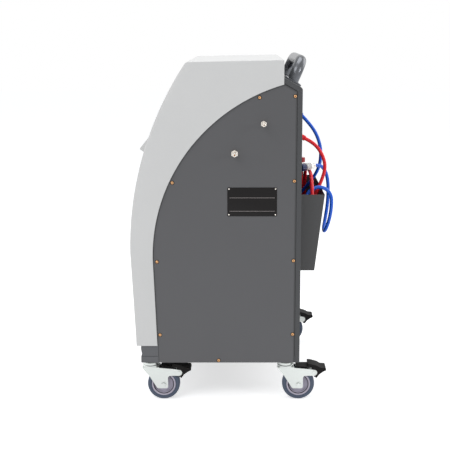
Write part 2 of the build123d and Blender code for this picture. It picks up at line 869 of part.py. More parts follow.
def service_fitting(fitting):
    """Side fitting: hexagon on the panel, necked stem and a chamfered nose with a small bore."""
    x, z = fitting["x"], fitting["z"]
    face = -panel_face
    nut_end = face - fitting_nut_thickness
    tip = face - fitting_reach
    part = prism(fitting["flats"], (x, face, z), (x, nut_end, z))
    stem = rod(fitting["stem"], (x, -panel_inner + 12, z), (x, tip, z))
    stem = chamfer(stem.edges().group_by(Axis.Y)[0], 1.5)
    stem -= rod(fitting["stem"] - 3.5, (x, tip - 1, z), (x, tip + 14, z))
    waist = rod(fitting["stem"] + 1, (x, nut_end - 3, z), (x, nut_end - 6, z))
    waist -= rod(fitting["stem"] - 1, (x, nut_end - 3, z), (x, nut_end - 6, z))
    part += stem - waist
    part += prism(fitting["flats"], (x, -panel_inner, z), (x, -panel_inner + 6, z))
    return part


def data_plate():
    """Thin plate with four round-headed rivets."""
    face = -panel_face
    plate = block(plate_left_x, plate_right_x, face - plate_thickness, face,
                  plate_bottom, plate_top)
    for x in (plate_left_x + rivet_inset, plate_right_x - rivet_inset):
        for z in (plate_bottom + rivet_inset, plate_top - rivet_inset):
            head = face - plate_thickness - rivet_height
            plate += rod(rivet_radius, (x, face - plate_thickness, z), (x, head, z))
    return plate


def panel_screw(x, z, side):
    """Round-headed screw through the side sheet to the chassis."""
    face = side * panel_face
    head = rod(screw_head_radius, (x, face, z), (x, face + side * screw_head_height, z))
    outer_edge = head.edges().sort_by(Axis.Y)[0 if side < 0 else -1]
    head = fillet(outer_edge, 1.4)
    reach = 0 if z < tray_top else frame_gap
    end = side * (panel_inner - reach)
    return head + rod(screw_shank_radius, (x, face, z), (x, end, z))


# Fan, power inlet and switch
def fan_frame():
    """Square frame with a round duct, four struts and the motor's hub and shaft."""
    back = -sheet
    front = back - fan_depth
    half = fan_size / 2
    frame = block(front, back, fan_y - half, fan_y + half, fan_height - half, fan_height + half)
    frame = fillet(frame.edges().filter_by(Axis.X), 8)
    frame -= rod(fan_bore_radius, (front - 1, fan_y, fan_height), (back + 1, fan_y, fan_height))
    motor = rod(fan_hub_radius, (front, fan_y, fan_height), (front + 8, fan_y, fan_height))
    shaft = rod(fan_shaft_radius, (front, fan_y, fan_height), (back - 6, fan_y, fan_height))
    struts = block(front, front + 4, fan_y - fan_bore_radius - 1, fan_y + fan_bore_radius + 1,
                   fan_height - 3, fan_height + 3)
    struts += block(front, front + 4, fan_y - 3, fan_y + 3,
                    fan_height - fan_bore_radius - 1, fan_height + fan_bore_radius + 1)
    return frame + motor + shaft + struts


def fan_rotor():
    front = -sheet - fan_depth
    hub_x0, hub_x1 = front + 8 + seat_gap, -sheet - 8
    rotor = rod(fan_hub_radius, (hub_x0, fan_y, fan_height), (hub_x1, fan_y, fan_height))
    span = fan_bore_radius - fan_tip_gap - fan_hub_radius + 2
    middle = (hub_x0 + hub_x1) / 2
    radial = fan_hub_radius - 2 + span / 2
    for i in range(fan_blades):
        blade = Pos(middle, 0, radial) * Rot(0, 0, 35) * Box(2, 26, span)
        blade &= rod(fan_bore_radius - fan_tip_gap, (hub_x0, 0, 0), (hub_x1, 0, 0))
        rotor += Pos(0, fan_y, fan_height) * Rot(i * 360 / fan_blades, 0, 0) * blade
    bore = fan_shaft_radius + shaft_clearance
    return rotor - rod(bore, (hub_x0 - 1, fan_y, fan_height), (hub_x1 + 1, fan_y, fan_height))


def fan_guard():
    """Flat rings on four arms."""
    guard = None
    pitch = (fan_bore_radius - 12) / guard_rings
    for i in range(guard_rings + 1):
        radius = 12 + i * pitch + guard_ring_width
        ring = Circle(radius) - Circle(radius - guard_ring_width)
        guard = ring if guard is None else guard + ring
    for turn in (45, 135):
        guard += Rot(0, 0, turn) * Rectangle(2 * fan_bore_radius + 16, guard_ring_width + 1)
    plane = Plane(origin=(0, fan_y, fan_height), x_dir=(0, 1, 0), z_dir=(1, 0, 0))
    return extrude(plane * guard, guard_thickness)


def power_inlet():
    """Inlet with three blades in a socket, and the window for the rocker switch."""
    half_w, half_t = inlet_width / 2, inlet_tall / 2
    body = block(-inlet_depth, 0, inlet_y - half_w + 4.3, inlet_y + half_w - 4.3,
                 inlet_height - half_t + 4.3, inlet_height + half_t - 4.3)
    body += block(0, 3, inlet_y - half_w, inlet_y + half_w,
                  inlet_height - half_t, inlet_height + half_t)
    socket_y = inlet_y - 10
    body -= block(-15, 4, socket_y - 12, socket_y + 12, inlet_height - 9, inlet_height + 9)
    for y, z in ((-7, -3), (7, -3), (0, 3)):
        body += block(-15, -3, socket_y + y - 1, socket_y + y + 1,
                      inlet_height + z - 2.5, inlet_height + z + 2.5)
    window_y = rocker_y()
    half_rw, half_rt = rocker_width / 2 + 0.4, rocker_tall / 2 + 1.6
    body -= block(-16, 4, window_y - half_rw, window_y + half_rw,
                  inlet_height - half_rt, inlet_height + half_rt)
    pin = rod(1.5, (-5, window_y - half_rw - 1, inlet_height),
              (-5, window_y + half_rw + 1, inlet_height))
    return body + pin


def rocker_y():
    return inlet_y + 16


def rocker_switch():
    """Rocker tipped to its off side, on the pin across its window."""
    y, z = rocker_y(), inlet_height
    half_t = rocker_tall / 2
    section = outline(
        (-10, -6), (-10, 6), (1, half_t), (5, half_t - 0.5), (3.2, 0), (5, -half_t + 0.5),
        (1, -half_t),
    )
    tipped = Pos(-5, 0) * Rot(0, 0, rocker_angle) * Pos(5, 0) * section
    part = Pos(0, 0, z) * slab(tipped, y - rocker_width / 2, y + rocker_width / 2)
    bore = 1.5 + shaft_clearance
    return part - rod(bore, (-5, y - rocker_width, z), (-5, y + rocker_width, z))


# Inner machinery on the tray and the shelf
tank_x, tank_y, tank_radius = -300.0, half_width - 160, 112.0
scale_height = 26.0
compressor_x, compressor_y = -108.0, half_width - 122
pump_x, pump_y = -290.0, 160 - half_width
shelf_top = shelf_height + 2


def tank_scale():
    base = block(tank_x - 120, tank_x + 120, tank_y - 120, tank_y + 120, floor_top, floor_top + 4)
    cell = block(tank_x - 65, tank_x + 65, tank_y - 15, tank_y + 15,
                 floor_top + 4, floor_top + scale_height - 4)
    top = block(tank_x - 118, tank_x + 118, tank_y - 118, tank_y + 118,
                floor_top + scale_height - 4, floor_top + scale_height)
    return base + cell + top


def refrigerant_tank():
    """Welded cylinder with domed ends, a foot ring and a valve under a guard collar."""
    foot = floor_top + scale_height
    low, high = foot + 30, foot + 400
    r = tank_radius
    profile = make_face(
        Line((0, low - 22), (40, low - 22))
        + ThreePointArc((40, low - 22), (r * 0.86, low - 8), (r, low + 28))
        + Line((r, low + 28), (r, high - 28))
        + ThreePointArc((r, high - 28), (r * 0.86, high + 8), (40, high + 22))
        + Polyline((40, high + 22), (0, high + 22), (0, low - 22))
    )
    body = revolve(Plane.XZ * profile, Axis.Z)
    ring = Pos(0, 0, foot + 16) * (Cylinder(80, 32) - Cylinder(77, 40))
    collar = Pos(0, 0, high + 30) * (Cylinder(62, 60) - Cylinder(59, 70))
    valve = Pos(0, 0, high + 34) * Cylinder(14, 28) + Pos(0, 0, high + 56) * Cylinder(20, 16)
    return Pos(tank_x, tank_y, 0) * (body + ring + collar + valve)


def compressor():
    """Hermetic pot: domed can on a foot plate."""
    can = Pos(0, 0, 95) * Cylinder(66, 150)
    can = fillet(can.edges().group_by(Axis.Z)[-1], 28)
    can = fillet(can.edges().group_by(Axis.Z)[0], 12)
    foot = Pos(0, 0, 10) * Box(120, 120, 20) - Pos(0, 0, 8) * Box(100, 200, 16)
    stub = rod(6, (40, 0, 120), (75, 0, 120))
    return Pos(compressor_x, compressor_y, floor_top) * (can + foot + stub)


def vacuum_pump():
    """Motor and oil case on a common foot."""
    z = 78
    foot = Pos(0, 0, 6) * Box(250, 110, 12)
    motor = rod(56, (-140, 0, z), (20, 0, z))
    saddle = block(-110, 100, -30, 30, 6, z)
    case = block(20, 130, -52, 52, 12, 150)
    case = fillet(case.edges().filter_by(Axis.Z), 10)
    filler = Pos(70, 0, 158) * Cylinder(13, 20)
    return Pos(pump_x, pump_y, floor_top) * (foot + saddle + motor + case + filler)


def filter_drier():
    can = Pos(0, 0, 110) * Cylinder(36, 180)
    can = fillet(can.edges().group_by(Axis.Z)[-1], 14)
    foot = Pos(0, 0, 10) * Cylinder(22, 20) + Pos(0, 0, 1.5) * Box(90, 60, 3)
    pipe = Pos(0, 0, 210) * Cylinder(6, 30)
    return Pos(-110, -175, shelf_top) * (can + foot + pipe)


def valve_block():
    """Manifold bar with a row of solenoid coils."""
    bar = Pos(0, 0, 25) * Box(60, 260, 50)
    for i in range(4):
        y = (i - 1.5) * 62
        bar += Pos(0, y, 50 + 18) * Box(38, 38, 36) + Pos(0, y, 50 + 40) * Cylinder(8, 14)
    return Pos(-250, -60, shelf_top) * bar


def power_supply():
    case = Pos(0, 0, 30) * Box(190, 100, 60)
    return Pos(-170, 190, shelf_top) * case


# Casters
def caster_places():
    """Swivel axes, named by corner."""
    ends = {"front": caster_front_x, "rear": caster_rear_x}
    return {
        f"{end}_{name}": (x, side * caster_half_span)
        for end, x in ends.items()
        for name, side in sides.items()
    }


kingpin_head_height = crown_height - fork_sheet - seat_gap


def caster_stem(x, y):
    """Fixed half of the swivel: bolt from below, race disc and neck, with its nut on the tray."""
    pin_low = kingpin_head_height - 6
    stem = rod(kingpin_radius, (x, y, pin_low), (x, y, floor_top + 14))
    stem += prism(kingpin_nut_flats, (x, y, pin_low), (x, y, kingpin_head_height))
    stem += rod(disc_radius, (x, y, disc_bottom), (x, y, disc_top))
    stem += rod(neck_radius, (x, y, disc_top), (x, y, cabinet_bottom))
    nut = prism(kingpin_nut_flats, (x, y, floor_top), (x, y, floor_top + 10))
    return stem + nut


def fork_side():
    """Side outline of the fork's leg with its brake arm."""
    bottom = wheel_radius - 12
    pivot = (brake_pivot_x, brake_pivot_height)
    leg = outline(
        (-25, crown_height), (-24, 103), (-5, 80), (20, bottom + 2), (24, bottom),
        (54, bottom), (54, 79), (pivot[0], 79), (pivot[0], pivot[1] + 10), (48, 103),
        (28, 104.5), (26, crown_height),
    )
    leg = fillet(nearest(leg.vertices(), 54, bottom), 6)
    leg = fillet(nearest(leg.vertices(), 54, 79), 8)
    leg += Pos(*pivot) * Circle(10)
    return leg


def caster_fork():
    """Bent fork with its bearing race, from the swivel axis at the origin."""
    half = fork_half_width
    leg = fork_side()
    fork = slab(leg, half - fork_sheet, half) + slab(leg, -half, -half + fork_sheet)
    crown = outline(
        (-25, crown_height), (26, crown_height), (26, crown_height - fork_sheet),
        (-25, crown_height - fork_sheet),
    )
    fork += slab(crown, -half, half)
    race_top = disc_bottom - seat_gap
    cup = rod(race_radius, (0, 0, crown_height), (0, 0, race_top))
    fork += chamfer(cup.edges().group_by(Axis.Z)[-1], 1.5)
    fork -= rod(kingpin_radius + shaft_clearance, (0, 0, 90), (0, 0, 130))
    for x, z, r in ((wheel_trail, wheel_radius, axle_radius),
                    (brake_pivot_x, brake_pivot_height, brake_pin_radius)):
        fork -= rod(r, (x, -half - 1, z), (x, half + 1, z))
    return fork


def fork_pins():
    """Axle bolt with its nut, and the brake's pivot pin, as pieces of their own."""
    half = fork_half_width
    x, z = wheel_trail, wheel_radius
    axle = rod(axle_radius, (x, -half, z), (x, half, z))
    axle += prism(13, (x, -half - 5, z), (x, -half, z))
    axle += prism(13, (x, half, z), (x, half + 6, z))
    px, pz = brake_pivot_x, brake_pivot_height
    pin = rod(brake_pin_radius, (px, -half, pz), (px, half, pz))
    pin += rod(brake_pin_radius + 1.5, (px, -half - 1.5, pz), (px, -half, pz))
    pin += rod(brake_pin_radius + 1.5, (px, half, pz), (px, half + 1.5, pz))
    return [axle, pin]


def tyre():
    """Solid rubber tread with rounded shoulders."""
    r, w = wheel_radius, wheel_width / 2
    band = outline((r - tread_thickness, -w + 1), (r - 5, -w), (r, -w + 6), (r, w - 6),
                   (r - 5, w), (r - tread_thickness, w - 1))
    solid = revolve(Plane.XZ * band, Axis.Z)
    return Pos(wheel_trail, 0, wheel_radius) * Rot(90, 0, 0) * solid


def hub():
    """Dished wheel centre with a rim bead, a web and bearing bosses."""
    rim = wheel_radius - tread_thickness
    w, face = wheel_width / 2, hub_face_width / 2
    half = outline(
        (axle_radius + shaft_clearance, 0), (rim, 0), (rim, w - 1), (rim - 4, w - 0.5),
        (rim - 6, w - 3), (rim - 8, 5), (15, 5), (12, face - 1), (10, face),
        (axle_radius + shaft_clearance, face),
    )
    solid = revolve(Plane.XZ * half, Axis.Z)
    solid += mirror(solid, Plane.XY)
    return Pos(wheel_trail, 0, wheel_radius) * Rot(90, 0, 0) * solid


def brake_pedal():
    """Plastic treadle on a steel lever, turning on the pin between the fork's arms."""
    px, pz = brake_pivot_x, brake_pivot_height
    lever_bottom = crown_height + 0.5
    lever_top = lever_bottom + 2.5
    tread = outline(
        (68, 118.5), (77, 118.5), (98, 112.5), (108, 106.5), (pedal_tip_x - 1.5, 105),
        (pedal_tip_x, 98), (117, 94), (104, 84.5), (96, 73.5), (89.2, 74.2), (84.5, 84),
        (82, 100), (82, lever_top), (68, lever_top),
    )
    treadle = slab(tread, -pedal_half_width, pedal_half_width)
    gap = fork_half_width - fork_sheet - side_clearance
    for y0, y1 in ((gap, pedal_half_width + 1), (-pedal_half_width - 1, -gap)):
        treadle -= rod(10 + 0.3, (px, y0, pz), (px, y1, pz))
        treadle -= slab(outline((70, 60), (93, 60), (px + 5, pz - 8), (px, pz + 10.3), (82, 100),
                                (70, 100)), y0, y1)
    treadle -= rod(brake_pin_radius + shaft_clearance, (px, -30, pz), (px, 30, pz))
    lever = block(32, 84, -20, 20, lever_bottom, lever_top)
    lever -= block(82, 90, -30, 30, 90, lever_top + 1)
    return [treadle, lever]


def main():
    write("front_shell", front_shell())
    write("console_panel", console_panel())
    write("display_lens", display_lens())
    write("control_board", control_board())
    for i, u in enumerate(button_places()):
        write(f"menu_button_{i + 1}", menu_button(u))
    write("gauge_cases", Compound([gauge_case(u) for u in (-gauge_u, gauge_u)]))
    write("gauge_glasses", Compound([gauge_glass(u) for u in (-gauge_u, gauge_u)]))
    write("low_pressure_needle", needle(-gauge_u))
    write("high_pressure_needle", needle(gauge_u))

    write("base_frame", base_frame())
    write("kick_panel", kick_panel())
    write("rear_cover", rear_cover())
    for name, side in sides.items():
        write(f"side_panel_{name}", side_panel(side))
    write("chassis_frame", chassis_frame())
    write("push_handle", push_handle())
    write("hose_holder", hose_holder())

    write("red_hose", hose("red_hose", red_route))
    write("blue_hose", Compound([hose("blue_hose", blue_route),
                                 hose("blue_hose tail", blue_tail_route)]))
    # The red hose joins its coil on the inner side of the lower run
    dip = (inner_stub_end - inner_stub_start) * inner_stub_dip
    lead_in = rod(hose_diameter / 2, red_in, (red_in[0], inner_stub_end, red_in[2] - dip))
    write("red_hose_coil", coil(*red_coil_size, [red_out]) + lead_in)
    write("blue_hose_coil", coil(*blue_coil_size, [blue_in, blue_out]))
    write("hose_ports", Compound([hose_port(port) for port in (red_port, blue_port)]))
    write("red_coupler", coupler(Plane(origin=red_out, z_dir=(0, 0, 1))))
    turn = math.radians(blue_coupler_turn)
    aim = (-math.cos(turn), -math.sin(turn), 0)
    write("blue_coupler", coupler(Plane(origin=blue_coupler_end, z_dir=aim)))

    write("service_ports", Compound([service_fitting(f) for f in (low_fitting, high_fitting)]))
    write("data_plate", data_plate())
    write("panel_screws", Compound([
        panel_screw(x, z, side) for side in sides.values() for x, z in screw_places
    ]))

    write("fan_frame", fan_frame())
    write("fan_rotor", fan_rotor())
    write("fan_guard", fan_guard())
    write("power_inlet", power_inlet())
    write("power_switch", rocker_switch())

    write("tank_scale", tank_scale())
    write("refrigerant_tank", refrigerant_tank())
    write("compressor", compressor())
    write("vacuum_pump", vacuum_pump())
    write("filter_drier", filter_drier())
    write("valve_block", valve_block())
    write("power_supply", power_supply())

    places = caster_places()
    write("caster_stems", Compound([caster_stem(x, y) for x, y in places.values()]))
    for name, (x, y) in places.items():
        write(f"caster_fork_{name}", Pos(x, y, 0) * Compound([caster_fork()] + fork_pins()))
        write(f"caster_tyre_{name}", Pos(x, y, 0) * tyre())
        write(f"caster_hub_{name}", Pos(x, y, 0) * hub())
        write(f"brake_pedal_{name}", Pos(x, y, 0) * Compound(brake_pedal()))


if __name__ == "__main__":
    main()
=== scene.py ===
# %% [markdown]
# # Mobile air conditioning recharge station
# A workshop machine on casters. The solids of the cabinet come in as a fixed frame, and this
# lesson dresses them: a camera and lamps first, then the hoses, then finishes and small pieces.

# %% Load the frame
import math
import bmesh
import bpy
from mathutils import Matrix, Vector


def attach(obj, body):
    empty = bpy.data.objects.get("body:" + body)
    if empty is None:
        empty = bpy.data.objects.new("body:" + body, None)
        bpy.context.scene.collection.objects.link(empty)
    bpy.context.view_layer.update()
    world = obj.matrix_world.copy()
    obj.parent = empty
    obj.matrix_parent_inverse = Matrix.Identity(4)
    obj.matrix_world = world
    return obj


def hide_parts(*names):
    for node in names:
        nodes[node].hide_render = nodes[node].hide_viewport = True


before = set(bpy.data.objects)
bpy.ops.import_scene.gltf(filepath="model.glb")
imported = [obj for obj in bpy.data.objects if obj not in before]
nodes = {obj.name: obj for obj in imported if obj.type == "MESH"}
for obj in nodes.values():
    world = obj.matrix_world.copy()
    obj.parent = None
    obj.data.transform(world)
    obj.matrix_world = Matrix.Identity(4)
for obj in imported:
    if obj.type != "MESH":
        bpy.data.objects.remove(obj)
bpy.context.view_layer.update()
scene = bpy.context.scene
scene.view_settings.view_transform = "Standard"
mm = 0.001

# The pieces are laid out in millimetres from the rear face, the middle and the floor
rear_x, middle_y = 212.25, 18.0
side_face = 296.0
roof_slope = math.radians(29.5)
roof_edge_height = 965.8

# %% [markdown]
# ## Camera
# The photograph looks square at the machine's right side from a little above the hood. A long
# lens at the same distance gives the same perspective, and a small shift puts it in the frame.

# %% Camera
picture_width = 450.0
focal_pixels = 869.0
sensor = 36.0
tilt_down = 10.7
camera_data = bpy.data.cameras.new("camera")
camera_data.sensor_width = sensor
camera_data.lens = sensor * focal_pixels / picture_width
camera_data.shift_x = -16.0 / picture_width
camera_data.shift_y = -29.0 / picture_width
camera_data.clip_end = 60.0
camera = bpy.data.objects.new("camera", camera_data)
camera.location = (0.03375, -2.7968, 1.1258)
camera.rotation_euler = (math.radians(90.0 - tilt_down), 0.0, 0.0)
scene.collection.objects.link(camera)
scene.camera = camera
print("lens", round(camera_data.lens, 2))

# %% [markdown]
# ## Light and floor
# A big soft lamp above and to the left, a weaker one in front and a pale world give the plain
# light of a studio table. The camera sees the world as white, and so do gloss and glass, while
# the object itself is lit by a quieter grey. The floor keeps the object's soft shadow.

# %% Light
def is_seen_directly(tree):
    """A value of 1 for camera, glossy and transmission rays, and 0 for the light on surfaces."""
    path = tree.nodes.new("ShaderNodeLightPath")
    first = tree.nodes.new("ShaderNodeMath")
    first.operation = "MAXIMUM"
    second = tree.nodes.new("ShaderNodeMath")
    second.operation = "MAXIMUM"
    tree.links.new(path.outputs["Is Camera Ray"], first.inputs[0])
    tree.links.new(path.outputs["Is Glossy Ray"], first.inputs[1])
    tree.links.new(first.outputs[0], second.inputs[0])
    tree.links.new(path.outputs["Is Transmission Ray"], second.inputs[1])
    return second.outputs[0]


world = bpy.data.worlds.new("studio")
scene.world = world
world.use_nodes = True
world_tree = world.node_tree
world_tree.nodes.clear()
world_out = world_tree.nodes.new("ShaderNodeOutputWorld")
world_mix = world_tree.nodes.new("ShaderNodeMixShader")
quiet = world_tree.nodes.new("ShaderNodeBackground")
quiet.inputs["Color"].default_value = (0.95, 0.97, 1.0, 1.0)
quiet.inputs["Strength"].default_value = 0.54
seen = world_tree.nodes.new("ShaderNodeBackground")
seen.inputs["Color"].default_value = (1.0, 1.0, 1.0, 1.0)
seen.inputs["Strength"].default_value = 1.0
world_tree.links.new(is_seen_directly(world_tree), world_mix.inputs["Fac"])
world_tree.links.new(quiet.outputs[0], world_mix.inputs[1])
world_tree.links.new(seen.outputs[0], world_mix.inputs[2])
world_tree.links.new(world_mix.outputs[0], world_out.inputs["Surface"])


def soft_lamp(name, place, target, size, power):
    """A square area lamp aimed at a point."""
    data = bpy.data.lights.new(name, "AREA")
    data.size = size
    data.energy = power
    lamp = bpy.data.objects.new(name, data)
    lamp.location = place
    lamp.rotation_euler = (Vector(target) - Vector(place)).to_track_quat("-Z", "Y").to_euler()
    scene.collection.objects.link(lamp)
    return lamp


middle = (0.0, 0.0, 0.55)
soft_lamp("key_lamp", (-1.6, -2.2, 3.0), middle, 2.2, 40.0)
soft_lamp("top_lamp", (0.3, 0.3, 3.4), middle, 2.0, 32.0)
soft_lamp("rear_lamp", (2.6, 1.4, 1.9), middle, 2.0, 22.0)
soft_lamp("front_lamp", (-2.8, 1.0, 1.6), middle, 2.0, 14.0)
soft_lamp("left_lamp", (-2.7, -1.5, 1.6), (-0.1, -0.3, 0.8), 0.6, 9.0)
soft_lamp("right_lamp", (2.5, -1.6, 1.5), (0.0, -0.3, 0.8), 0.6, 11.0)

# %% [markdown]
# The floor is one wide plane. It glows a little for the camera alone, so it stays nearly white
# and still shows the machine's shadow.

# %% Floor
floor_reach = 14.0
floor_mesh = bpy.data.meshes.new("floor")
shape = bmesh.new()
bmesh.ops.create_grid(shape, x_segments=1, y_segments=1, size=floor_reach)
shape.to_mesh(floor_mesh)
shape.free()
floor = bpy.data.objects.new("floor", floor_mesh)
scene.collection.objects.link(floor)
floor_material = bpy.data.materials.new("pale_floor")
floor_material.use_nodes = True
tree = floor_material.node_tree
tree.nodes.clear()
out = tree.nodes.new("ShaderNodeOutputMaterial")
both = tree.nodes.new("ShaderNodeAddShader")
matt = tree.nodes.new("ShaderNodeBsdfDiffuse")
matt.inputs["Color"].default_value = (0.86, 0.86, 0.86, 1.0)
lift = tree.nodes.new("ShaderNodeEmission")
gain = tree.nodes.new("ShaderNodeMath")
gain.operation = "MULTIPLY"
gain.inputs[1].default_value = 0.55
tree.links.new(is_seen_directly(tree), gain.inputs[0])
tree.links.new(gain.outputs[0], lift.inputs["Strength"])
tree.links.new(matt.outputs[0], both.inputs[0])
tree.links.new(lift.outputs[0], both.inputs[1])
tree.links.new(both.outputs[0], out.inputs["Surface"])
floor_mesh.materials.append(floor_material)
print("floor half size", floor_reach)

# %% [markdown]
# ## Finishes
# Every finish starts from one recipe: a base colour that varies a little over the surface, a
# roughness with faint scuffs, and a fine grain for the normal. The shared effects are node
# groups with named sockets, built once, so each material only sets its own numbers.

# %% Shared node groups
def new_group(name, inputs, outputs):
    """A shader node group with its input and output nodes."""
    group = bpy.data.node_groups.new(name, "ShaderNodeTree")
    for label, kind, value in inputs:
        socket = group.interface.new_socket(label, in_out="INPUT", socket_type=kind)
        socket.default_value = value
    for label, kind in outputs:
        group.interface.new_socket(label, in_out="OUTPUT", socket_type=kind)
    return group, group.nodes.new("NodeGroupInput"), group.nodes.new("NodeGroupOutput")


def math_node(tree, operation, *values):
    """A math node fed by numbers or sockets."""
    node = tree.nodes.new("ShaderNodeMath")
    node.operation = operation
    for socket, value in zip(node.inputs, values):
        if isinstance(value, (int, float)):
            socket.default_value = value
        else:
            tree.links.new(value, socket)
    return node.outputs[0]


def noise_node(tree, vector, scale, detail=3.0, roughness=0.55):
    """The value of a noise texture, at a scale given by a number or a socket."""
    node = tree.nodes.new("ShaderNodeTexNoise")
    node.inputs["Detail"].default_value = detail
    node.inputs["Roughness"].default_value = roughness
    if isinstance(scale, (int, float)):
        node.inputs["Scale"].default_value = scale
    else:
        tree.links.new(scale, node.inputs["Scale"])
    tree.links.new(vector, node.inputs["Vector"])
    return node.outputs["Fac"]


# Tint: the colour wanders a little, more at broad scale than at fine scale
tint_group, put, get = new_group(
    "Tint",
    [("Color", "NodeSocketColor", (0.5, 0.5, 0.5, 1.0)), ("Amount", "NodeSocketFloat", 0.05)],
    [("Color", "NodeSocketColor")],
)
coords = tint_group.nodes.new("ShaderNodeTexCoord")
broad = noise_node(tint_group, coords.outputs["Object"], 5.0)
fine = noise_node(tint_group, coords.outputs["Object"], 160.0)
mixed = math_node(tint_group, "ADD", math_node(tint_group, "MULTIPLY", broad, 1.4),
                  math_node(tint_group, "MULTIPLY", fine, 0.6))
swing = math_node(tint_group, "MULTIPLY", math_node(tint_group, "SUBTRACT", mixed, 1.0),
                  put.outputs["Amount"])
factor = math_node(tint_group, "ADD", swing, 1.0)
scaled = tint_group.nodes.new("ShaderNodeVectorMath")
scaled.operation = "SCALE"
tint_group.links.new(put.outputs["Color"], scaled.inputs[0])
tint_group.links.new(factor, scaled.inputs["Scale"])
tint_group.links.new(scaled.outputs[0], get.inputs["Color"])

# Grain: two sizes of bump, for moulded texture and powder coat
grain_group, put, get = new_group(
    "Grain", [("Scale", "NodeSocketFloat", 900.0)], [("Height", "NodeSocketFloat")]
)
coords = grain_group.nodes.new("ShaderNodeTexCoord")
cells = noise_node(grain_group, coords.outputs["Object"], put.outputs["Scale"], 2.0)
orange_scale = math_node(grain_group, "MULTIPLY", put.outputs["Scale"], 0.28)
orange = noise_node(grain_group, coords.outputs["Object"], orange_scale, 1.0)
height = math_node(grain_group, "ADD", math_node(grain_group, "MULTIPLY", cells, 0.65),
                   math_node(grain_group, "MULTIPLY", orange, 0.35))
grain_group.links.new(height, get.inputs["Height"])

# Scuffs: long faint rubs, kept to a few places by a broad mask
scuff_group, put, get = new_group(
    "Scuffs", [("Amount", "NodeSocketFloat", 0.1)], [("Mask", "NodeSocketFloat")]
)
coords = scuff_group.nodes.new("ShaderNodeTexCoord")
stretch = scuff_group.nodes.new("ShaderNodeMapping")
stretch.inputs["Scale"].default_value = (18.0, 18.0, 230.0)
stretch.inputs["Rotation"].default_value = (0.0, math.radians(62.0), 0.0)
scuff_group.links.new(coords.outputs["Object"], stretch.inputs["Vector"])
lines = noise_node(scuff_group, stretch.outputs[0], 1.0, 4.0, 0.7)
patches = noise_node(scuff_group, coords.outputs["Object"], 9.0, 2.0)
sharp = math_node(scuff_group, "GREATER_THAN", lines, 0.66)
mask = math_node(scuff_group, "MULTIPLY", sharp,
                 math_node(scuff_group, "GREATER_THAN", patches, 0.53))
scuff_group.links.new(math_node(scuff_group, "MULTIPLY", mask, put.outputs["Amount"]),
                      get.inputs["Mask"])

# Painted seam shade: the side sheet's colour is darkened as painted shade in the last millimetres
# beside the rear fold and the swept edge, where shadow falls, and a very little from the floor up
seam_shade_group, put, get = new_group(
    "Seam", [("Color", "NodeSocketColor", (0.5, 0.5, 0.5, 1.0))], [("Color", "NodeSocketColor")]
)
coords = seam_shade_group.nodes.new("ShaderNodeTexCoord")
split = seam_shade_group.nodes.new("ShaderNodeSeparateXYZ")
seam_shade_group.links.new(coords.outputs["Object"], split.inputs[0])
fold_width = 15.5
sweep_x, sweep_height, sweep_radius, sweep_lean = 95.5, 460.0, 538.0, 0.0343


def seam_math(operation, *values):
    """A math node of this group."""
    return math_node(seam_shade_group, operation, *values)


along = seam_math("MULTIPLY_ADD", split.outputs["X"], 1.0 / mm, -rear_x)
up = seam_math("MULTIPLY", split.outputs["Z"], 1.0 / mm)
fold = seam_math("SUBTRACT", -fold_width, along)
roof = seam_math("MULTIPLY_ADD", along, -math.tan(roof_slope),
                 roof_edge_height - fold_width / math.cos(roof_slope))
under_roof = seam_math("MULTIPLY", seam_math("SUBTRACT", roof, up), math.cos(roof_slope))
above = seam_math("MAXIMUM", seam_math("SUBTRACT", up, sweep_height), 0.0)
below = seam_math("MAXIMUM", seam_math("SUBTRACT", sweep_height, up), 0.0)
across = seam_math("MULTIPLY_ADD", below, -sweep_lean, seam_math("SUBTRACT", along, sweep_x))
reach = seam_math("SQRT", seam_math("ADD", seam_math("MULTIPLY", across, across),
                                    seam_math("MULTIPLY", above, above)))
sweep = seam_math("MULTIPLY", seam_math("SUBTRACT", sweep_radius, reach), 1.4)
nearest = seam_math("MINIMUM", seam_math("MINIMUM", fold, under_roof), sweep)
share = seam_math("MULTIPLY", nearest, 0.16)
share = seam_math("MINIMUM", seam_math("MAXIMUM", share, 0.0), 1.0)
shade = seam_shade_group.nodes.new("ShaderNodeVectorMath")
shade.operation = "SCALE"
seam_shade_group.links.new(put.outputs["Color"], shade.inputs[0])
# Painted shade: the sheet's colour grows a very little darker higher up, from how the light falls
# on it
height_shade = seam_math("MULTIPLY_ADD", up, -0.000164, 1.087)
# Painted shade: the colour is scaled down towards the seams, where shadow falls
seam_shade_tone = seam_math("MULTIPLY_ADD", share, 0.72, 0.28)
seam_shade_group.links.new(seam_math("MULTIPLY", seam_shade_tone, height_shade), shade.inputs["Scale"])
seam_shade_group.links.new(shade.outputs[0], get.inputs["Color"])
print("groups", len(bpy.data.node_groups))


# %% [markdown]
# ### One recipe for the plain finishes
# Colours are written as display values from 0 to 255. The side sheet gets the painted seam shade
# of the group above on top of the recipe, and each CAD node gets the finish of its own material.

# %% One recipe for the plain finishes
def linear(*rgb):
    """A display colour from 0 to 255 as the linear colour that shaders use."""
    out = []
    for value in rgb:
        c = value / 255.0
        out.append(c / 12.92 if c <= 0.04045 else ((c + 0.055) / 1.055) ** 2.4)
    return (*out, 1.0)


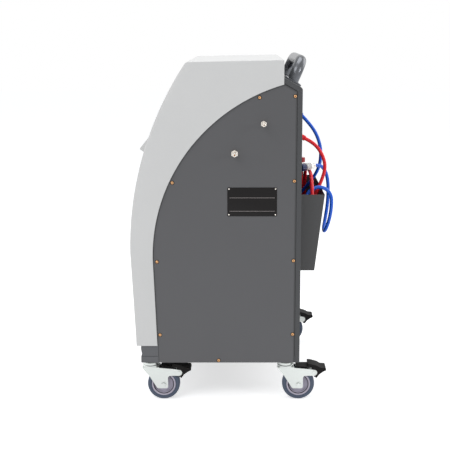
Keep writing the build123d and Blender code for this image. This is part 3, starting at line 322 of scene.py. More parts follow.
def finish(name, colour, rough, metal=0.0, tint=0.05, grain=900.0, depth=0.05, scuffs=0.1,
           coat=0.0, coat_rough=0.1):
    """A material with tint, grain and scuffs; depth is the grain's height in millimetres."""
    material = bpy.data.materials.new(name)
    material.use_nodes = True
    tree = material.node_tree
    shader = tree.nodes["Principled BSDF"]
    shader.inputs["Metallic"].default_value = metal
    shader.inputs["Coat Weight"].default_value = coat
    shader.inputs["Coat Roughness"].default_value = coat_rough
    tinted = tree.nodes.new("ShaderNodeGroup")
    tinted.node_tree = tint_group
    tinted.inputs["Color"].default_value = colour
    tinted.inputs["Amount"].default_value = tint
    tree.links.new(tinted.outputs["Color"], shader.inputs["Base Color"])
    rubs = tree.nodes.new("ShaderNodeGroup")
    rubs.node_tree = scuff_group
    rubs.inputs["Amount"].default_value = scuffs
    tree.links.new(math_node(tree, "ADD", rubs.outputs["Mask"], rough),
                   shader.inputs["Roughness"])
    grains = tree.nodes.new("ShaderNodeGroup")
    grains.node_tree = grain_group
    grains.inputs["Scale"].default_value = grain
    bump = tree.nodes.new("ShaderNodeBump")
    bump.inputs["Strength"].default_value = 0.6
    bump.inputs["Distance"].default_value = depth * mm
    tree.links.new(grains.outputs["Height"], bump.inputs["Height"])
    tree.links.new(bump.outputs["Normal"], shader.inputs["Normal"])
    return material


def paint(material, *names):
    """Give one material to CAD nodes."""
    for name in names:
        data = nodes[name].data
        data.materials.clear()
        data.materials.append(material)


corners = ("front_right", "front_left", "rear_right", "rear_left")
shell_finish = finish("moulded_shell", linear(206, 206, 205), 0.46, grain=1100, depth=0.03)
side_finish = finish("dark_panel_paint", linear(63, 64, 66), 0.55, grain=700, depth=0.06)
sheet_finish = finish("side_sheet_paint_and_seam_shade", linear(84, 84, 86), 0.55, grain=700, depth=0.06)
# The side sheet's colour passes through the painted seam shade group: painted shade beside its
# seams, and a little darker higher up
tree = sheet_finish.node_tree
sheet_colour = tree.nodes["Principled BSDF"].inputs["Base Color"]
painted = sheet_colour.links[0].from_socket
shaded = tree.nodes.new("ShaderNodeGroup")
shaded.node_tree = seam_shade_group
tree.links.new(painted, shaded.inputs["Color"])
tree.links.new(shaded.outputs["Color"], sheet_colour)
base_finish = finish("base_paint", linear(90, 91, 94), 0.5, grain=800, depth=0.04)
deck_finish = finish("console_plastic", linear(84, 86, 90), 0.5, grain=900, depth=0.05)
holder_finish = finish("holder_paint", linear(70, 70, 71), 0.42, grain=900, depth=0.03)
rail_finish = finish("chassis_paint", linear(74, 75, 78), 0.5)
bar_finish = finish("polished_bar", linear(98, 100, 104), 0.27, metal=1.0, grain=500, depth=0.01)
zinc_finish = finish("zinc_plate", linear(205, 209, 206), 0.36, metal=0.8, tint=0.14,
                     grain=400, depth=0.02)
nickel_finish = finish("nickel_plate", linear(222, 216, 208), 0.22, metal=1.0, tint=0.06)
brass_finish = finish("brass", linear(212, 172, 110), 0.28, metal=1.0, tint=0.1)
screw_finish = finish("screw_plating", linear(206, 156, 108), 0.32, metal=0.9, tint=0.1)
steel_finish = finish("plain_steel", linear(170, 171, 173), 0.35, metal=1.0)
tread_finish = finish("tread_rubber", linear(74, 84, 102), 0.62, tint=0.14, grain=600,
                      depth=0.08, scuffs=0.15)
rim_finish = finish("wheel_plastic", linear(176, 171, 186), 0.45, tint=0.05)
bead_finish = finish("wheel_bead", linear(182, 176, 190), 0.4, tint=0.05)
pedal_finish = finish("pedal_plastic", linear(14, 12, 12), 0.55, grain=700, depth=0.05)
black_finish = finish("black_plastic", linear(38, 38, 40), 0.45)
button_finish = finish("button_plastic", linear(128, 130, 134), 0.4)
board_finish = finish("board_green", linear(30, 92, 60), 0.4)
lens_finish = finish("display_lens", linear(14, 18, 20), 0.16, tint=0.02, depth=0.0)
plate_finish = finish("bare_plate", linear(29, 27, 27), 0.22, tint=0.05, depth=0.005)
for dull in (plate_finish, pedal_finish):
    dull.node_tree.nodes["Principled BSDF"].inputs["Specular IOR Level"].default_value = 0.15
line_finish = finish("plate_line", linear(170, 162, 160), 0.4)
red_finish = finish("red_hose_rubber", linear(248, 22, 40), 0.42, tint=0.08)
blue_finish = finish("blue_hose_rubber", linear(0, 96, 222), 0.42, tint=0.08)
navy_finish = finish("navy_knob", linear(24, 44, 96), 0.3, coat=0.3)
red_knob_finish = finish("red_knob", linear(176, 24, 34), 0.3, coat=0.3)
white_finish = finish("white_plastic", linear(222, 222, 218), 0.35)
needle_finish = finish("needle_paint", linear(200, 40, 32), 0.4)
# Painted shade: a dark grey for recesses, grooves and seam lines where shadow falls
groove_shade_finish = finish("groove_shadow", linear(44, 42, 48), 0.6)
washer_finish = finish("black_washer", linear(26, 25, 25), 0.55)
dial_finish = finish("dial_face", linear(232, 232, 226), 0.5, tint=0.03, depth=0.01)
ink_finish = finish("dial_ink", linear(20, 20, 22), 0.5)
blue_ink = finish("blue_ink", linear(24, 88, 178), 0.5)
red_ink = finish("red_ink", linear(198, 34, 34), 0.5)
screen_finish = finish("screen", linear(52, 74, 70), 0.3, tint=0.04, depth=0.0)
glass_finish = finish("clear_glass", linear(240, 244, 246), 0.05, tint=0.01, depth=0.0,
                      scuffs=0.05)
glass_finish.node_tree.nodes["Principled BSDF"].inputs["Alpha"].default_value = 0.16
tank_finish = finish("tank_paint", linear(180, 182, 184), 0.35, coat=0.2)

paint(shell_finish, "front_shell")
paint(side_finish, "side_panel_right", "side_panel_left", "rear_cover")
paint(base_finish, "base_frame", "kick_panel")
paint(deck_finish, "console_panel")
paint(holder_finish, "hose_holder")
paint(rail_finish, "chassis_frame", "tank_scale")
paint(bar_finish, "push_handle")
paint(zinc_finish, "caster_stems", "fan_guard", *[f"caster_fork_{c}" for c in corners])
paint(nickel_finish, "service_ports")
paint(glass_finish, "gauge_glasses")
paint(brass_finish, "hose_ports")
paint(screw_finish, "panel_screws")
paint(steel_finish, "power_supply", "valve_block", "vacuum_pump")
paint(tread_finish, *[f"caster_tyre_{c}" for c in corners])
paint(rim_finish, *[f"caster_hub_{c}" for c in corners])
paint(pedal_finish, *[f"brake_pedal_{c}" for c in corners])
paint(black_finish, "gauge_cases", "fan_frame", "fan_rotor", "power_inlet", "power_switch",
      "compressor")
paint(button_finish, *[f"menu_button_{i}" for i in range(1, 5)])
paint(board_finish, "control_board")
paint(lens_finish, "display_lens")
paint(plate_finish, "data_plate")
paint(needle_finish, "low_pressure_needle", "high_pressure_needle")
paint(tank_finish, "refrigerant_tank", "filter_drier")
paint(red_knob_finish, "red_coupler")
paint(navy_finish, "blue_coupler")
print("materials", len(bpy.data.materials))

# %% [markdown]
# ## Hoses
# The two charging hoses leave brass ports on the back, drop into the holder, wind round it and
# end in quick couplers. Each is one smooth spline through its given points, with the turns
# of its coil as more points of the same line, thickened by the curve's bevel.

# %% Hose curves
hose_diameter = 0.0115


def at(x, y, z):
    """A place measured in millimetres from the rear face, the middle and the floor."""
    return ((x + rear_x) * mm, (y + middle_y) * mm, z * mm)


def one_turn(half_width, low, high, bend):
    """Control points of a rounded rectangle in y and height, from the middle of its lower run."""
    half_step = math.radians(15.0)
    reach = bend / math.cos(half_step)
    flat = half_width - bend
    points = []
    for y, z, base in ((flat, low + bend, -90), (flat, high - bend, 0),
                       (-flat, high - bend, 90), (-flat, low + bend, 180)):
        for step in (15, 45, 75):
            turn = math.radians(base + step)
            points.append((y + reach * math.cos(turn), z + reach * math.sin(turn)))
        if base in (0, 180):
            z_run = high if base == 0 else low
            side = 1 if base == 0 else -1
            ease = bend * math.tan(half_step)
            points.append((side * (flat - ease), z_run))
            points.append((-side * (flat - ease), z_run))
    return points


def hose_curve(name, points, material):
    """A spline of order 3 through the route, with a round bevel."""
    data = bpy.data.curves.new(name, "CURVE")
    data.dimensions = "3D"
    data.bevel_depth = hose_diameter / 2
    data.bevel_resolution = 5
    data.resolution_u = 8
    spline = data.splines.new("NURBS")
    spline.points.add(len(points) - 1)
    for point, place in zip(spline.points, points):
        point.co = (*place, 1.0)
    spline.order_u = 3
    spline.use_endpoint_u = True
    data.materials.append(material)
    obj = bpy.data.objects.new(name, data)
    scene.collection.objects.link(obj)
    return obj


coil_low, layer_pitch = 400.55, 11.9
red_half_width, blue_half_width = 174.25, 165.0
red_turn = one_turn(red_half_width, coil_low, 684.05, 110.0)
blue_turn = one_turn(blue_half_width, coil_low, 534.75, 60.0)
red_outer, blue_outer = 43.15, 19.45
red_inner, blue_inner = red_outer - layer_pitch, blue_outer - layer_pitch
red_tip = (red_inner, red_half_width, 634.05)
blue_tip = (57.0, -46.0, 702.1)

red_route = [at(*p) for p in (
    (25.38, -60, 791.99), (45.15, -60, 782.34), (70, -61, 760), (87, -63, 727), (91, -66, 697),
    (83, -71, 668), (67, -79, 631), (54, -89, 595), (46.5, -100, 558), (43.5, -109, 520),
    (43.15, -112, 486), (43.15, -110, 455), (43.15, -95, 427.4), (43.15, -68, 413.2),
    (43.15, -40, 412.3), (43.15, 12, 410.5), (43.15, 50, 401.5),
)]
red_coil = [(red_outer, *p) for p in red_turn[:14]]
red_coil += [(37.5, -34.8, coil_low), (red_inner, 14.0, coil_low)]
red_coil += [(red_inner, *p) for p in red_turn[:3]]
red_coil += [(red_inner, red_half_width, 545.0), red_tip]
red_line = red_route + [at(*p) for p in red_coil]
red_hose = hose_curve("red_hose_run", red_line, red_finish)

# The blue hose comes down on the left, so it runs through its turn backwards, one and a half
# times
blue_start = [at(*p) for p in (
    (22.11, 60, 854.49), (49.9, 60, 825.72), (73, 60, 791), (86, 62, 752), (89, 67, 715),
    (84, 79, 676), (65, 98, 635), (43, 124, 602), (25, 149, 574), (19.45, 165, 547),
    (19.45, 165, 516.75),
)]
blue_coil = [(blue_outer, *blue_turn[i]) for i in (2, 1, 0, 15, 14, 13, 12, 11, 10, 9, 8, 7)]
blue_coil += [(blue_inner, *blue_turn[i]) for i in (6, 5, 4, 3, 2, 1, 0, 15, 14, 13, 12, 11)]
blue_tail = [at(*p) for p in (
    (7.55, -165, 516.75), (7.55, -165, 545), (12, -161, 577), (21, -155, 609),
    (34.2, -139, 636), (60.7, -128, 648.2), (88.9, -119, 641.4), (107, -113, 618.5),
    (109, -109, 590), (107, -105, 558), (101, -97, 525), (94, -79, 497), (91, -50, 486),
    (94, -20, 497), (101, -1, 525), (107, 5, 562), (109, 6, 600), (108, 4, 637),
    (102, -3, 669), (89, -15, 692), (74, -30.15, 702.1), blue_tip,
)]
blue_line = blue_start + [at(*p) for p in blue_coil] + blue_tail
blue_hose = hose_curve("blue_hose_run", blue_line, blue_finish)


def curve_length(obj):
    """Length of a curve's own line, read from the spline without its bevel."""
    bare = obj.copy()
    bare.data = obj.data.copy()
    bare.data.bevel_depth = 0.0
    line = bpy.data.meshes.new_from_object(bare)
    total = sum((line.vertices[a].co - line.vertices[b].co).length
                for a, b in (edge.vertices for edge in line.edges))
    bpy.data.meshes.remove(line)
    bpy.data.curves.remove(bare.data)
    return total


for hose in (red_hose, blue_hose):
    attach(hose, "cabinet")
    print(hose.name, "length", round(curve_length(hose), 3))
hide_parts("red_hose", "red_hose_coil")
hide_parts("blue_hose", "blue_hose_coil")

# %% [markdown]
# ## Rounded copies of the sheet and moulded parts
# A folded sheet or a moulding has no knife edges: a thin line of light runs along every bend.
# A copy of each solid is merged, its flat faces are joined, and a small bevel rounds its edges.

# %% Rounded copies
def mesh_object(name, shape, material, body, smooth=35.0):
    """A finished bmesh as an object that rides on a body, smooth up to an angle."""
    data = bpy.data.meshes.new(name)
    shape.normal_update()
    shape.to_mesh(data)
    shape.free()
    for item in material if isinstance(material, tuple) else (material,):
        data.materials.append(item)
    obj = bpy.data.objects.new(name, data)
    scene.collection.objects.link(obj)
    data.polygons.foreach_set("use_smooth", [True] * len(data.polygons))
    data.set_sharp_from_angle(angle=math.radians(smooth))
    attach(obj, body)
    return obj


def prism(outline, travel):
    """A solid from a flat outline of places, pushed along a vector."""
    shape = bmesh.new()
    end = shape.faces.new([shape.verts.new(place) for place in outline])
    grown = bmesh.ops.extrude_face_region(shape, geom=[end])
    moved = [v for v in grown["geom"] if isinstance(v, bmesh.types.BMVert)]
    bmesh.ops.translate(shape, verts=moved, vec=travel)
    bmesh.ops.recalc_face_normals(shape, faces=shape.faces)
    return shape


def solid_copy(node):
    """A merged bmesh of a CAD node, its coplanar triangles joined into whole faces."""
    shape = bmesh.new()
    shape.from_mesh(nodes[node].data)
    bmesh.ops.remove_doubles(shape, verts=shape.verts, dist=0.00001)
    bmesh.ops.dissolve_limit(shape, angle_limit=math.radians(0.6), verts=shape.verts,
                             edges=shape.edges)
    return shape


def round_edges(obj, width, segments=2, angle=40.0):
    """Round the sharp edges of a piece with a live bevel, its new faces shaded with their sides."""
    bevel = obj.modifiers.new("edges", "BEVEL")
    bevel.width = width * mm
    bevel.segments = segments
    bevel.limit_method = "ANGLE"
    bevel.angle_limit = math.radians(angle)
    bevel.harden_normals = True
    bevel.use_clamp_overlap = True
    return obj


def rounded(node, width, material, body="cabinet", smooth=40.0, choose=None):
    """A rounded copy in place of a node; choose picks a material by a face's middle, in mm."""
    shape = solid_copy(node)
    if choose:
        for face in shape.faces:
            x, y, z = face.calc_center_median() / mm
            face.material_index = choose(x - rear_x, y - middle_y, z)
    obj = mesh_object(f"{node}_form", shape, material, body, smooth)
    round_edges(obj, width)
    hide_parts(node)
    return obj


rounded("front_shell", 1.1, shell_finish)
rounded("side_panel_right", 0.5, sheet_finish)
rounded("side_panel_left", 0.5, sheet_finish)
rounded("rear_cover", 0.7, side_finish)
rounded("kick_panel", 1.0, base_finish)
rounded("base_frame", 1.2, base_finish)
rounded("console_panel", 0.6, (deck_finish, shell_finish),
        choose=lambda x, y, z: int(abs(y) > 283.0 or z < 789.0))
rounded("hose_holder", 0.4, holder_finish)
rounded("push_handle", 0.5, bar_finish)
rounded("gauge_cases", 0.3, black_finish)
rounded("fan_frame", 0.5, black_finish)
rounded("fan_rotor", 0.4, black_finish, "fan_rotor")
rounded("power_switch", 0.5, black_finish, "power_switch")
rounded("caster_stems", 0.4, zinc_finish)

for corner in corners:
    rounded(f"caster_fork_{corner}", 0.5, zinc_finish, f"fork_{corner}")

# %% [markdown]
# ### Front of the kick panel
# The folded toe of the cabinet needs a closed front, and a thin strip of painted shadow along
# the seam where it meets the tray.

# %% Kick panel front and seam shadows
# The front of the kick panel leans in towards the tray between its end walls
kick_foot, kick_brow, kick_sheet = (-479.65, 151.1), (-483.55, 174.5), 1.55
kick_corners = [at(x + back, -side_face, z)
                for x, z, back in ((*kick_foot, 0.0), (*kick_brow, 0.0),
                                   (*kick_brow, kick_sheet), (*kick_foot, kick_sheet))]
kick_front = prism(kick_corners, (0, 2 * side_face * mm, 0))
round_edges(mesh_object("kick_front", kick_front, base_finish, "cabinet"), 0.4)

# Thin dark strips paint the shadow of the seam where the kick panel's ends stand on the tray
seam_shadow_size = Matrix.Diagonal((47.0 * mm, 0.3 * mm, 1.5 * mm, 1.0))
seam_shadow_strips = bmesh.new()
for side in (-1, 1):
    place = Matrix.Translation(at(-456.0, side * (side_face + 0.05), 151.2))
    bmesh.ops.create_cube(seam_shadow_strips, size=1.0, matrix=place @ seam_shadow_size)
mesh_object("kick_seam_shadows", seam_shadow_strips, groove_shade_finish, "cabinet")
print("kick panel pieces", 2)

# %% [markdown]
# ## Turned and placed shapes
# Screws, rings, wheels and dials are all profiles spun about an axis. Each is made at the origin
# and then moved by a matrix that stands its axis out of a side panel, the rear or the console.

# %% Turning and placing
def turned(profile, steps=48):
    """A surface of revolution about local z from (radius, height) pairs in millimetres."""
    shape = bmesh.new()
    line = [shape.verts.new((r * mm, 0.0, h * mm)) for r, h in profile]
    edges = [shape.edges.new(pair) for pair in zip(line, line[1:])]
    bmesh.ops.spin(shape, geom=line + edges, cent=(0, 0, 0), axis=(0, 0, 1),
                   angle=2 * math.pi, steps=steps, use_merge=True)
    bmesh.ops.remove_doubles(shape, verts=shape.verts, dist=0.000001)
    bmesh.ops.recalc_face_normals(shape, faces=shape.faces)
    return shape


def joined(pairs):
    """One bmesh out of shapes, each moved by its matrix."""
    whole = bmesh.new()
    for shape, matrix in pairs:
        bmesh.ops.transform(shape, matrix=matrix, verts=shape.verts)
        part = bpy.data.meshes.new("part")
        shape.to_mesh(part)
        shape.free()
        whole.from_mesh(part)
        bpy.data.meshes.remove(part)
    return whole


def standing(x_axis, y_axis, z_axis, place):
    """A matrix from three axes and a place."""
    turn = Matrix((x_axis, y_axis, z_axis)).transposed().to_4x4()
    return Matrix.Translation(place) @ turn


def on_side(side, x, z, out=0.0):
    """Out of a side panel: local z leaves the panel and local y is up."""
    return standing((-side, 0, 0), (0, 0, 1), (0, side, 0), at(x, side * (side_face + out), z))


def on_rear(y, z, out=0.0):
    """Out of the rear cover: local z leaves it and local y is up."""
    return standing((0, 1, 0), (0, 0, 1), (1, 0, 0), at(out, y, z))


lean = math.radians(38.5)
deck_foot_x, deck_foot_z = -476.5, 788.0


def on_deck(u, v, out=0.0):
    """Out of the console deck: local x to the operator's right and local y up the deck."""
    x = deck_foot_x + v * math.sin(lean) - out * math.cos(lean)
    z = deck_foot_z + v * math.cos(lean) + out * math.sin(lean)
    return standing((0, -1, 0), (math.sin(lean), 0, math.cos(lean)),
                    (-math.cos(lean), 0, math.sin(lean)), at(x, -u, z))


def mark(shape, index, test=lambda face: True):
    """Give faces a material by its number."""
    for face in shape.faces:
        if test(face):
            face.material_index = index
    return shape


def screw(radius=4.4, height=2.6):
    """A round head with a six-lobed recess (material 1, the slot for painted shade) on a washer
    (material 2, which also stands in for the shadow round the head).
    """
    recess = 0.43 * radius
    shape = turned([(0, height - 1.5), (0.75 * recess, height - 1.5),
                    (0.8 * recess, height - 0.15), (recess, height),
                    (0.62 * radius, height - 0.12), (0.88 * radius, height - 0.75),
                    (radius, height - 1.6), (radius, 0.3)])
    for vert in shape.verts:
        out = vert.co.xy.length
        if 0 < out < 0.9 * recess * mm:
            vert.co.xy *= 1 + 0.15 * math.cos(6 * math.atan2(vert.co.y, vert.co.x))
    mark(shape, 1, lambda f: f.calc_center_median().xy.length < 0.79 * recess * mm)
    rim = radius + 2.0
    shadow_ring_washer = turned([(radius - 1, 0.5), (rim - 0.4, 0.5), (rim, 0.2), (rim, 0)])
    return joined([(shape, Matrix()), (mark(shadow_ring_washer, 2), Matrix())])


# Painted shade: the recess takes the dark groove shade, and the black washer also paints the shadow
# round each head
screw_set = (screw_finish, groove_shade_finish, washer_finish)
print("turning ready")

# %% [markdown]
# ### Screws
# Both sides carry the same row of screws along the panel's edges. The heads are plated, their
# recesses are painted dark as shade, and each sits on a black washer that also stands in for the
# shadow round the head.

# %% Panel screws
screw_places = (
    (-124.5, 939.0), (-21.5, 942.9), (-21.5, 694.3), (-21.5, 452.8), (-21.5, 221.8),
    (-246.7, 138.4), (-424.8, 219.9), (-430.0, 449.1), (-380.8, 689.2),
)
heads = [(screw(), on_side(side, x, z)) for side in (-1, 1) for x, z in screw_places]
panel_screws = mesh_object("panel_screw_heads", joined(heads), screw_set, "cabinet")
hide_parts("panel_screws")

# Four steel screws hold each flange of the push handle on the slanted top
down_roof = Vector((math.cos(roof_slope), 0, -math.sin(roof_slope)))
off_roof = Vector((math.sin(roof_slope), 0, math.cos(roof_slope)))
flange_x, flange_y, flange_thickness = -25.5, 200.0, 4.0
flange_heads = []
for side in (-1, 1):
    for u in (-19.5, 19.5):
        for v in (-28.5, 28.5):
            foot = Vector((flange_x, side * flange_y + v,
                           roof_edge_height - flange_x * math.tan(roof_slope)))
            place = at(*(foot + u * down_roof + flange_thickness * off_roof))
            flange_heads.append((screw(3.6, 2.2),
                                 standing(down_roof, (0, 1, 0), off_roof, place)))
# These recesses and washers paint the same shade and shadow round each head
mesh_object("flange_screw_heads", joined(flange_heads),
            (steel_finish, groove_shade_finish, washer_finish), "cabinet")
print("screw heads", len(heads) + len(flange_heads))

# %% [markdown]
# ## Side fittings and plate
# The plate on the right side stays bare: a black face with two thin ruled lines, held by four
# rivets.

# %% Bare plate
def box_shape(width, depth, height, matrix):
    """A box by its sizes in millimetres, centred on a matrix."""
    shape = bmesh.new()
    bmesh.ops.create_cube(shape, size=1.0, matrix=matrix @ Matrix.Diagonal(
        (width * mm, depth * mm, height * mm, 1.0)))
    return shape


def upright_edges(shape, height):
    """The edges that climb at least half of a height in millimetres."""
    return [e for e in shape.edges
            if abs(e.verts[0].co.z - e.verts[1].co.z) > 0.5 * height * mm]


def round_uprights(shape, uprights, corner):
    """Round some upright edges, by a radius in millimetres."""
    bmesh.ops.bevel(shape, geom=uprights, offset=corner * mm, segments=5, profile=0.5,
                    affect="EDGES", material=-1)


def rounded_plate(width, height, thickness, corner):
    """A flat plate on local z = 0 with round corners."""
    shape = box_shape(width, height, thickness, Matrix.Translation((0, 0, thickness * mm / 2)))
    round_uprights(shape, upright_edges(shape, thickness), corner)
    return shape


def top_faces(shape):
    """The faces that look along local z."""
    shape.normal_update()
    return [f for f in shape.faces if f.normal.z > 0.99]


plate_thickness = 1.0
plate = rounded_plate(146.6, 86.4, plate_thickness, 3.0)
bmesh.ops.inset_region(plate, faces=top_faces(plate), thickness=0.6 * mm, depth=0.1 * mm,
                       use_even_offset=True)
rivet = [(0, 1.2), (1.0, 1.1), (1.8, 0.7), (2.2, 0.0)]
pieces = [(plate, Matrix())]
for v in (12.4, -27.8):
    rule = rounded_plate(134.0, 0.8, 0.08, 0.2)
    pieces.append((mark(rule, 1),
                   Matrix.Translation((0, v * mm, (plate_thickness + 0.08) * mm))))
for u in (-68.8, 68.8):
    for v in (-38.7, 38.7):
        pieces.append((mark(turned(rivet, 24), 2),
                       Matrix.Translation((u * mm, v * mm, plate_thickness * mm))))
plate_piece = joined(pieces)
bmesh.ops.transform(plate_piece, matrix=on_side(-1, -145.5, 632.0), verts=plate_piece.verts)
plate_obj = mesh_object("bare_plate", plate_piece, (plate_finish, line_finish, nickel_finish),
                        "cabinet")
round_edges(plate_obj, 0.2)
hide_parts("data_plate")
print("plate faces", len(plate_obj.data.polygons))


# %% [markdown]
# ### Service fittings
# The two fittings above the plate keep their solids. They are nickel outside and brass within.

# %% Service fittings
fitting_places = ((-197.1, 776.6), (-112.3, 863.4))


def bore_or_metal(x, y, z):
    """1 for the brass inside a fitting's bore, else 0."""
    out = min(math.dist((x, z), place) for place in fitting_places)
    wall = 1.0 < out < 2.6 and y < -321.0
    floor_face = out < 1.0 and abs(y + 322.0) < 0.5
    return int(wall or floor_face)


rounded("service_ports", 0.4, (nickel_finish, brass_finish), choose=bore_or_metal)


# %% [markdown]
# ### Hose ends
# One solid can hold several materials here, so a small function tells them apart by place.

# %% Hose ports and couplers
port_places = ((2, -60.0, 799.0), (3, 60.0, 866.0))
port_flange_face = 4.1
nut_x, nut_reach = 11.0, 9.4


def port_part(x, y, z):
    """0 for brass, 1 for the round flange, 2 and 3 for the rubber sleeves on the two ferrules."""
    for sleeve, port_y, port_z in port_places:
        if abs(y - port_y) < 25.0 and abs(z - port_z) < 30.0:
            if -0.1 < x < port_flange_face:
                return 1
            from_nut = math.dist((x, y, z), (nut_x, port_y, port_z))
            if x > port_flange_face and from_nut > nut_reach:
                return sleeve
    return 0


def coupler_part(start, aim):
    """A chooser by the height along a coupler: 0 for the knob, 1 for metal, 2 for the sleeve."""
    def choose(x, y, z):
        height = sum((a - b) * c for a, b, c in zip((x, y, z), start, aim))
        for limit, index in ((21.1, 1), (43.1, 2), (47.9, 1)):
            if height < limit:
                return index
        return 0
    return choose


blue_turn_angle = math.radians(43.0)
rounded("hose_ports", 0.3, (brass_finish, washer_finish, red_finish, blue_finish),
        choose=port_part)
red_end = rounded("red_coupler", 0.4, (red_knob_finish, nickel_finish, white_finish),
                  choose=coupler_part(red_tip, (0.0, 0.0, 1.0)))
blue_end = rounded("blue_coupler", 0.4, (navy_finish, nickel_finish, white_finish),
                   choose=coupler_part(blue_tip, (-math.cos(blue_turn_angle),
                                                  -math.sin(blue_turn_angle), 0.0)))
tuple(red_line[0])
curve_length(red_hose)
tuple(blue_line[0])
curve_length(blue_hose)

# %% [markdown]
# ## Casters
# The wheels are turned: a dished centre with a groove painted dark as shade inside a bright bead,
# in a tyre with round shoulders. The brake pedal keeps its solid, all in black.

# %% Wheels and pedals
caster_places = {
    f"{end}_{name}": (x, y)
    for end, x in (("front", -458.5), ("rear", -40.5))
    for name, y in (("right", -255.0), ("left", 255.0))
}
hub_half = [(4.05, 15.7), (9.6, 15.7), (10.4, 14.9), (12.0, 8.0), (14.0, 6.0), (26.0, 5.4),
            (28.0, 7.5), (28.9, 11.4), (29.5, 12.0), (29.9, 9.2), (31.5, 9.2), (31.9, 12.6),
            (32.7, 13.6), (36.2, 13.6), (37.2, 12.5)]
trail, axle_height = 40.0, 50.0
tyre_half = [(37.2, 12.3), (37.7, 13.4), (39.0, 13.7), (39.4, 13.3), (40.2, 13.3), (40.6, 13.9),
             (44.0, 14.0), (46.4, 13.2), (48.4, 11.4), (49.5, 9.2), (50.0, 6.0)]


def both_ways(half):
    """A closed profile from its upper half."""
    return half + [(r, -h) for r, h in reversed(half)] + half[:1]


def in_ring(inner, outer, height=math.inf):
    """A test for faces between two radii, and within a height of the middle, in millimetres."""
    def test(face):
        middle = face.calc_center_median() / mm
        return inner < middle.xy.length < outer and abs(middle.z) < height
    return test


for corner, (x, y) in caster_places.items():
    axle = standing((1, 0, 0), (0, 0, 1), (0, -1, 0), at(x + trail, y, axle_height))
    hub = turned(both_ways(hub_half), 72)
    # Painted shade: the groove's faces take the dark groove shade material
    mark(hub, 1, in_ring(29.6, 31.7, 11.6))
    mark(hub, 2, in_ring(31.8, 37.0))
    bmesh.ops.transform(hub, matrix=axle, verts=hub.verts)
    hub_obj = mesh_object(f"wheel_centre_{corner}", hub,
                          (rim_finish, groove_shade_finish, bead_finish),
                          f"wheel_{corner}")
    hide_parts(f"caster_hub_{corner}")
    tyre = turned(both_ways(tyre_half), 96)
    bmesh.ops.transform(tyre, matrix=axle, verts=tyre.verts)
    tyre_obj = mesh_object(f"tyre_{corner}", tyre, tread_finish, f"wheel_{corner}",
                           25.0)
    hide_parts(f"caster_tyre_{corner}")
    rounded(f"brake_pedal_{corner}", 0.7, pedal_finish, f"pedal_{corner}")
print("wheels", len(caster_places))

# %% [markdown]
# ## Console instruments
# Each gauge has a printed dial under its glass: ticks and numbers round three quarters of a turn,
# with a coloured arc, blue for low pressure and red for high.

# %% Dials
def number_shape(text, size):
    """A number as a flat mesh, centred on the origin."""
    data = bpy.data.curves.new("number", "FONT")
    data.body = text
    data.size = size * mm
    data.align_x = "CENTER"
    data.align_y = "CENTER"
    data.extrude = 0.03 * mm
    holder = bpy.data.objects.new("number", data)
    drawn = bpy.data.meshes.new_from_object(holder)
    shape = bmesh.new()
    shape.from_mesh(drawn)
    bpy.data.meshes.remove(drawn)
    bpy.data.curves.remove(data)
    return shape


def dial_arc(inner, outer, start, sweep_angle):
    """A flat ring segment on local z = 0."""
    shape = bmesh.new()
    ends = [shape.verts.new((r * mm * math.cos(start), r * mm * math.sin(start), 0.0))
            for r in (inner, outer)]
    edge = shape.edges.new(ends)
    bmesh.ops.spin(shape, geom=ends + [edge], cent=(0, 0, 0), axis=(0, 0, 1), angle=sweep_angle,
                   steps=60)
    shape.normal_update()
    for face in shape.faces:
        if face.normal.z < 0:
            face.normal_flip()
    return shape


def dial(numbers):
    """A dial face with its marks: material 0 white, 1 black and 2 the arc's colour."""
    start, whole_turn = math.radians(225.0), math.radians(-270.0)
    hole, edge, thickness, ink_height = 1.6, 33.8, -0.15, 0.03
    tick_end, number_radius, number_size = 29.2, 19.6, 6.2
    face = turned([(hole, 0.0), (edge, 0.0), (edge, thickness), (hole, thickness), (hole, 0.0)],
                  96)
    arc = mark(dial_arc(29.6, 31.0, start, whole_turn), 2)
    parts = [(face, Matrix()), (arc, Matrix.Translation((0, 0, 0.02 * mm)))]
    count = len(numbers) - 1
    for i in range(5 * count + 1):
        length, width = (4.6, 0.7) if i % 5 == 0 else (2.4, 0.35)
        spoke = Matrix.Rotation(start + whole_turn * i / (5 * count), 4, "Z")
        spoke @= Matrix.Translation(((tick_end - length / 2) * mm, 0, ink_height * mm))
        parts.append((mark(box_shape(length, width, 0.06, spoke), 1), Matrix()))
    for i, text in enumerate(numbers):
        angle = start + whole_turn * i / count
        place = Matrix.Translation((number_radius * mm * math.cos(angle),
                                    number_radius * mm * math.sin(angle), ink_height * mm))
        parts.append((mark(number_shape(text, number_size), 1), place))
    return joined(parts)


gauge_u, gauge_v, dial_sink = 185.0, 205.0, 2.84
gauges = (("low", -gauge_u, ("0", "2", "4", "6", "8", "10"), blue_ink),
          ("high", gauge_u, ("0", "5", "10", "15", "20", "25", "30"), red_ink))
for name, u, numbers, ink in gauges:
    piece = dial(numbers)
    bmesh.ops.transform(piece, matrix=on_deck(u, gauge_v, -dial_sink), verts=piece.verts)
    mesh_object(f"{name}_pressure_dial", piece, (dial_finish, ink_finish, ink), "cabinet")
print("dials", len(gauges))

# %% [markdown]
# ### Display and lip
# The display has a dark frame round a sunk screen. The lip below the deck is closed at its sides.

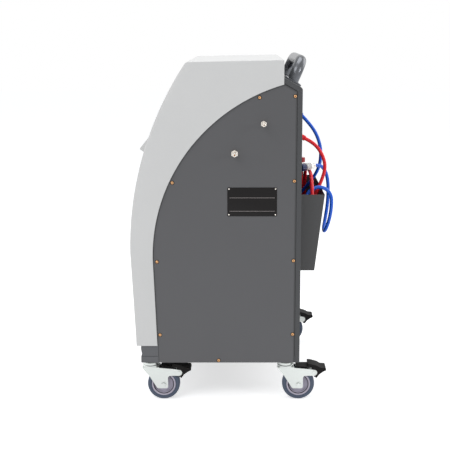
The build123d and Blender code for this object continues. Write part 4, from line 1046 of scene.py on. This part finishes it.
# %% Display and lip ends
lens_thickness = 3.8
lens = box_shape(150.0, 84.0, lens_thickness, Matrix.Translation((0, 0, lens_thickness * mm / 2)))
window = top_faces(lens)
uprights = upright_edges(lens, lens_thickness)
for width, depth in ((9.0, 0.0), (0.4, -0.4)):
    bmesh.ops.inset_region(lens, faces=window, thickness=width * mm, depth=depth * mm,
                           use_even_offset=True)
for face in window:
    face.material_index = 1
round_uprights(lens, uprights, 4.0)
bmesh.ops.transform(lens, matrix=on_deck(0.0, 215.0, -3.0), verts=lens.verts)
lens_obj = mesh_object("display_front", lens, (lens_finish, screen_finish), "cabinet")
round_edges(lens_obj, 0.2)
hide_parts("display_lens")

# A three-cornered end closes the console's lip at each side
lip_corners = [(0, v * mm, out * mm) for v, out in ((3.2, -27.8), (3.2, -3.1), (34.0, -3.1))]
ends = [(prism(lip_corners, (-side * 3.0 * mm, 0, 0)), on_deck(side * 283.6, 0.0))
        for side in (-1, 1)]
mesh_object("lip_ends", joined(ends), shell_finish, "cabinet")
print("display screen and lip ends made")

# %% [markdown]
# ## Rear details
# The fan's guard is bent from wire: rings laid on four arms, each arm ending at a screw. The power
# inlet shows its brass blades in a black socket.

# %% Wire guard and inlet
def wire_ring(radius, wire):
    """A ring of round wire, by its own radius and the wire's."""
    return turned([(radius + wire * math.cos(a), wire * math.sin(a))
                   for a in (math.radians(45 * i) for i in range(9))], 72)


def wire_bar(length, wire, matrix):
    """A straight round wire along the matrix's own z."""
    shape = bmesh.new()
    bmesh.ops.create_cone(shape, cap_ends=True, segments=12, radius1=wire * mm, radius2=wire * mm,
                          depth=length * mm, matrix=matrix)
    return shape


wire, inner_ring, ring_pitch, eye_distance = 0.95, 13.5, 11.2, 74.0
fan_y, fan_height = -130.0, 270.0
wires = [(wire_ring(inner_ring + ring_pitch * i, wire), Matrix.Translation((0, 0, 1.5 * mm)))
         for i in range(6)]
lying = Matrix.Rotation(math.radians(90), 4, "Y")
for angle in (45, 135, 225, 315):
    turn = Matrix.Rotation(math.radians(angle), 4, "Z")
    arm = turn @ Matrix.Translation((41.0 * mm, 0, wire * mm)) @ lying
    wires.append((wire_bar(58.0, wire, arm), Matrix()))
    eye = turn @ Matrix.Translation((eye_distance * mm, 0, 0))
    wires.append((wire_ring(4.6, wire), eye @ Matrix.Translation((0, 0, wire * mm))))
    wires.append((mark(screw(3.6, 2.3), 1, lambda f: f.material_index == 0), eye))
guard = joined(wires)
bmesh.ops.transform(guard, matrix=on_rear(fan_y, fan_height, 0.05), verts=guard.verts)
guard_obj = mesh_object("wire_guard", guard, (zinc_finish, steel_finish, washer_finish), "cabinet")
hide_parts("fan_guard")


blade_places = ((133.0, 227.0), (147.0, 227.0), (140.0, 233.0))


def blade_or_body(x, y, z):
    """1 for the three blades in the socket, else 0."""
    near = any(abs(y - by) < 1.1 and abs(z - bz) < 2.6 for by, bz in blade_places)
    return int(near and -14.9 < x < -2.9)


rounded("power_inlet", 0.3, (black_finish, brass_finish), choose=blade_or_body)
for i in range(1, 5):
    rounded(f"menu_button_{i}", 0.3, button_finish, f"menu_button_{i}")
print("guard wires", len(wires))
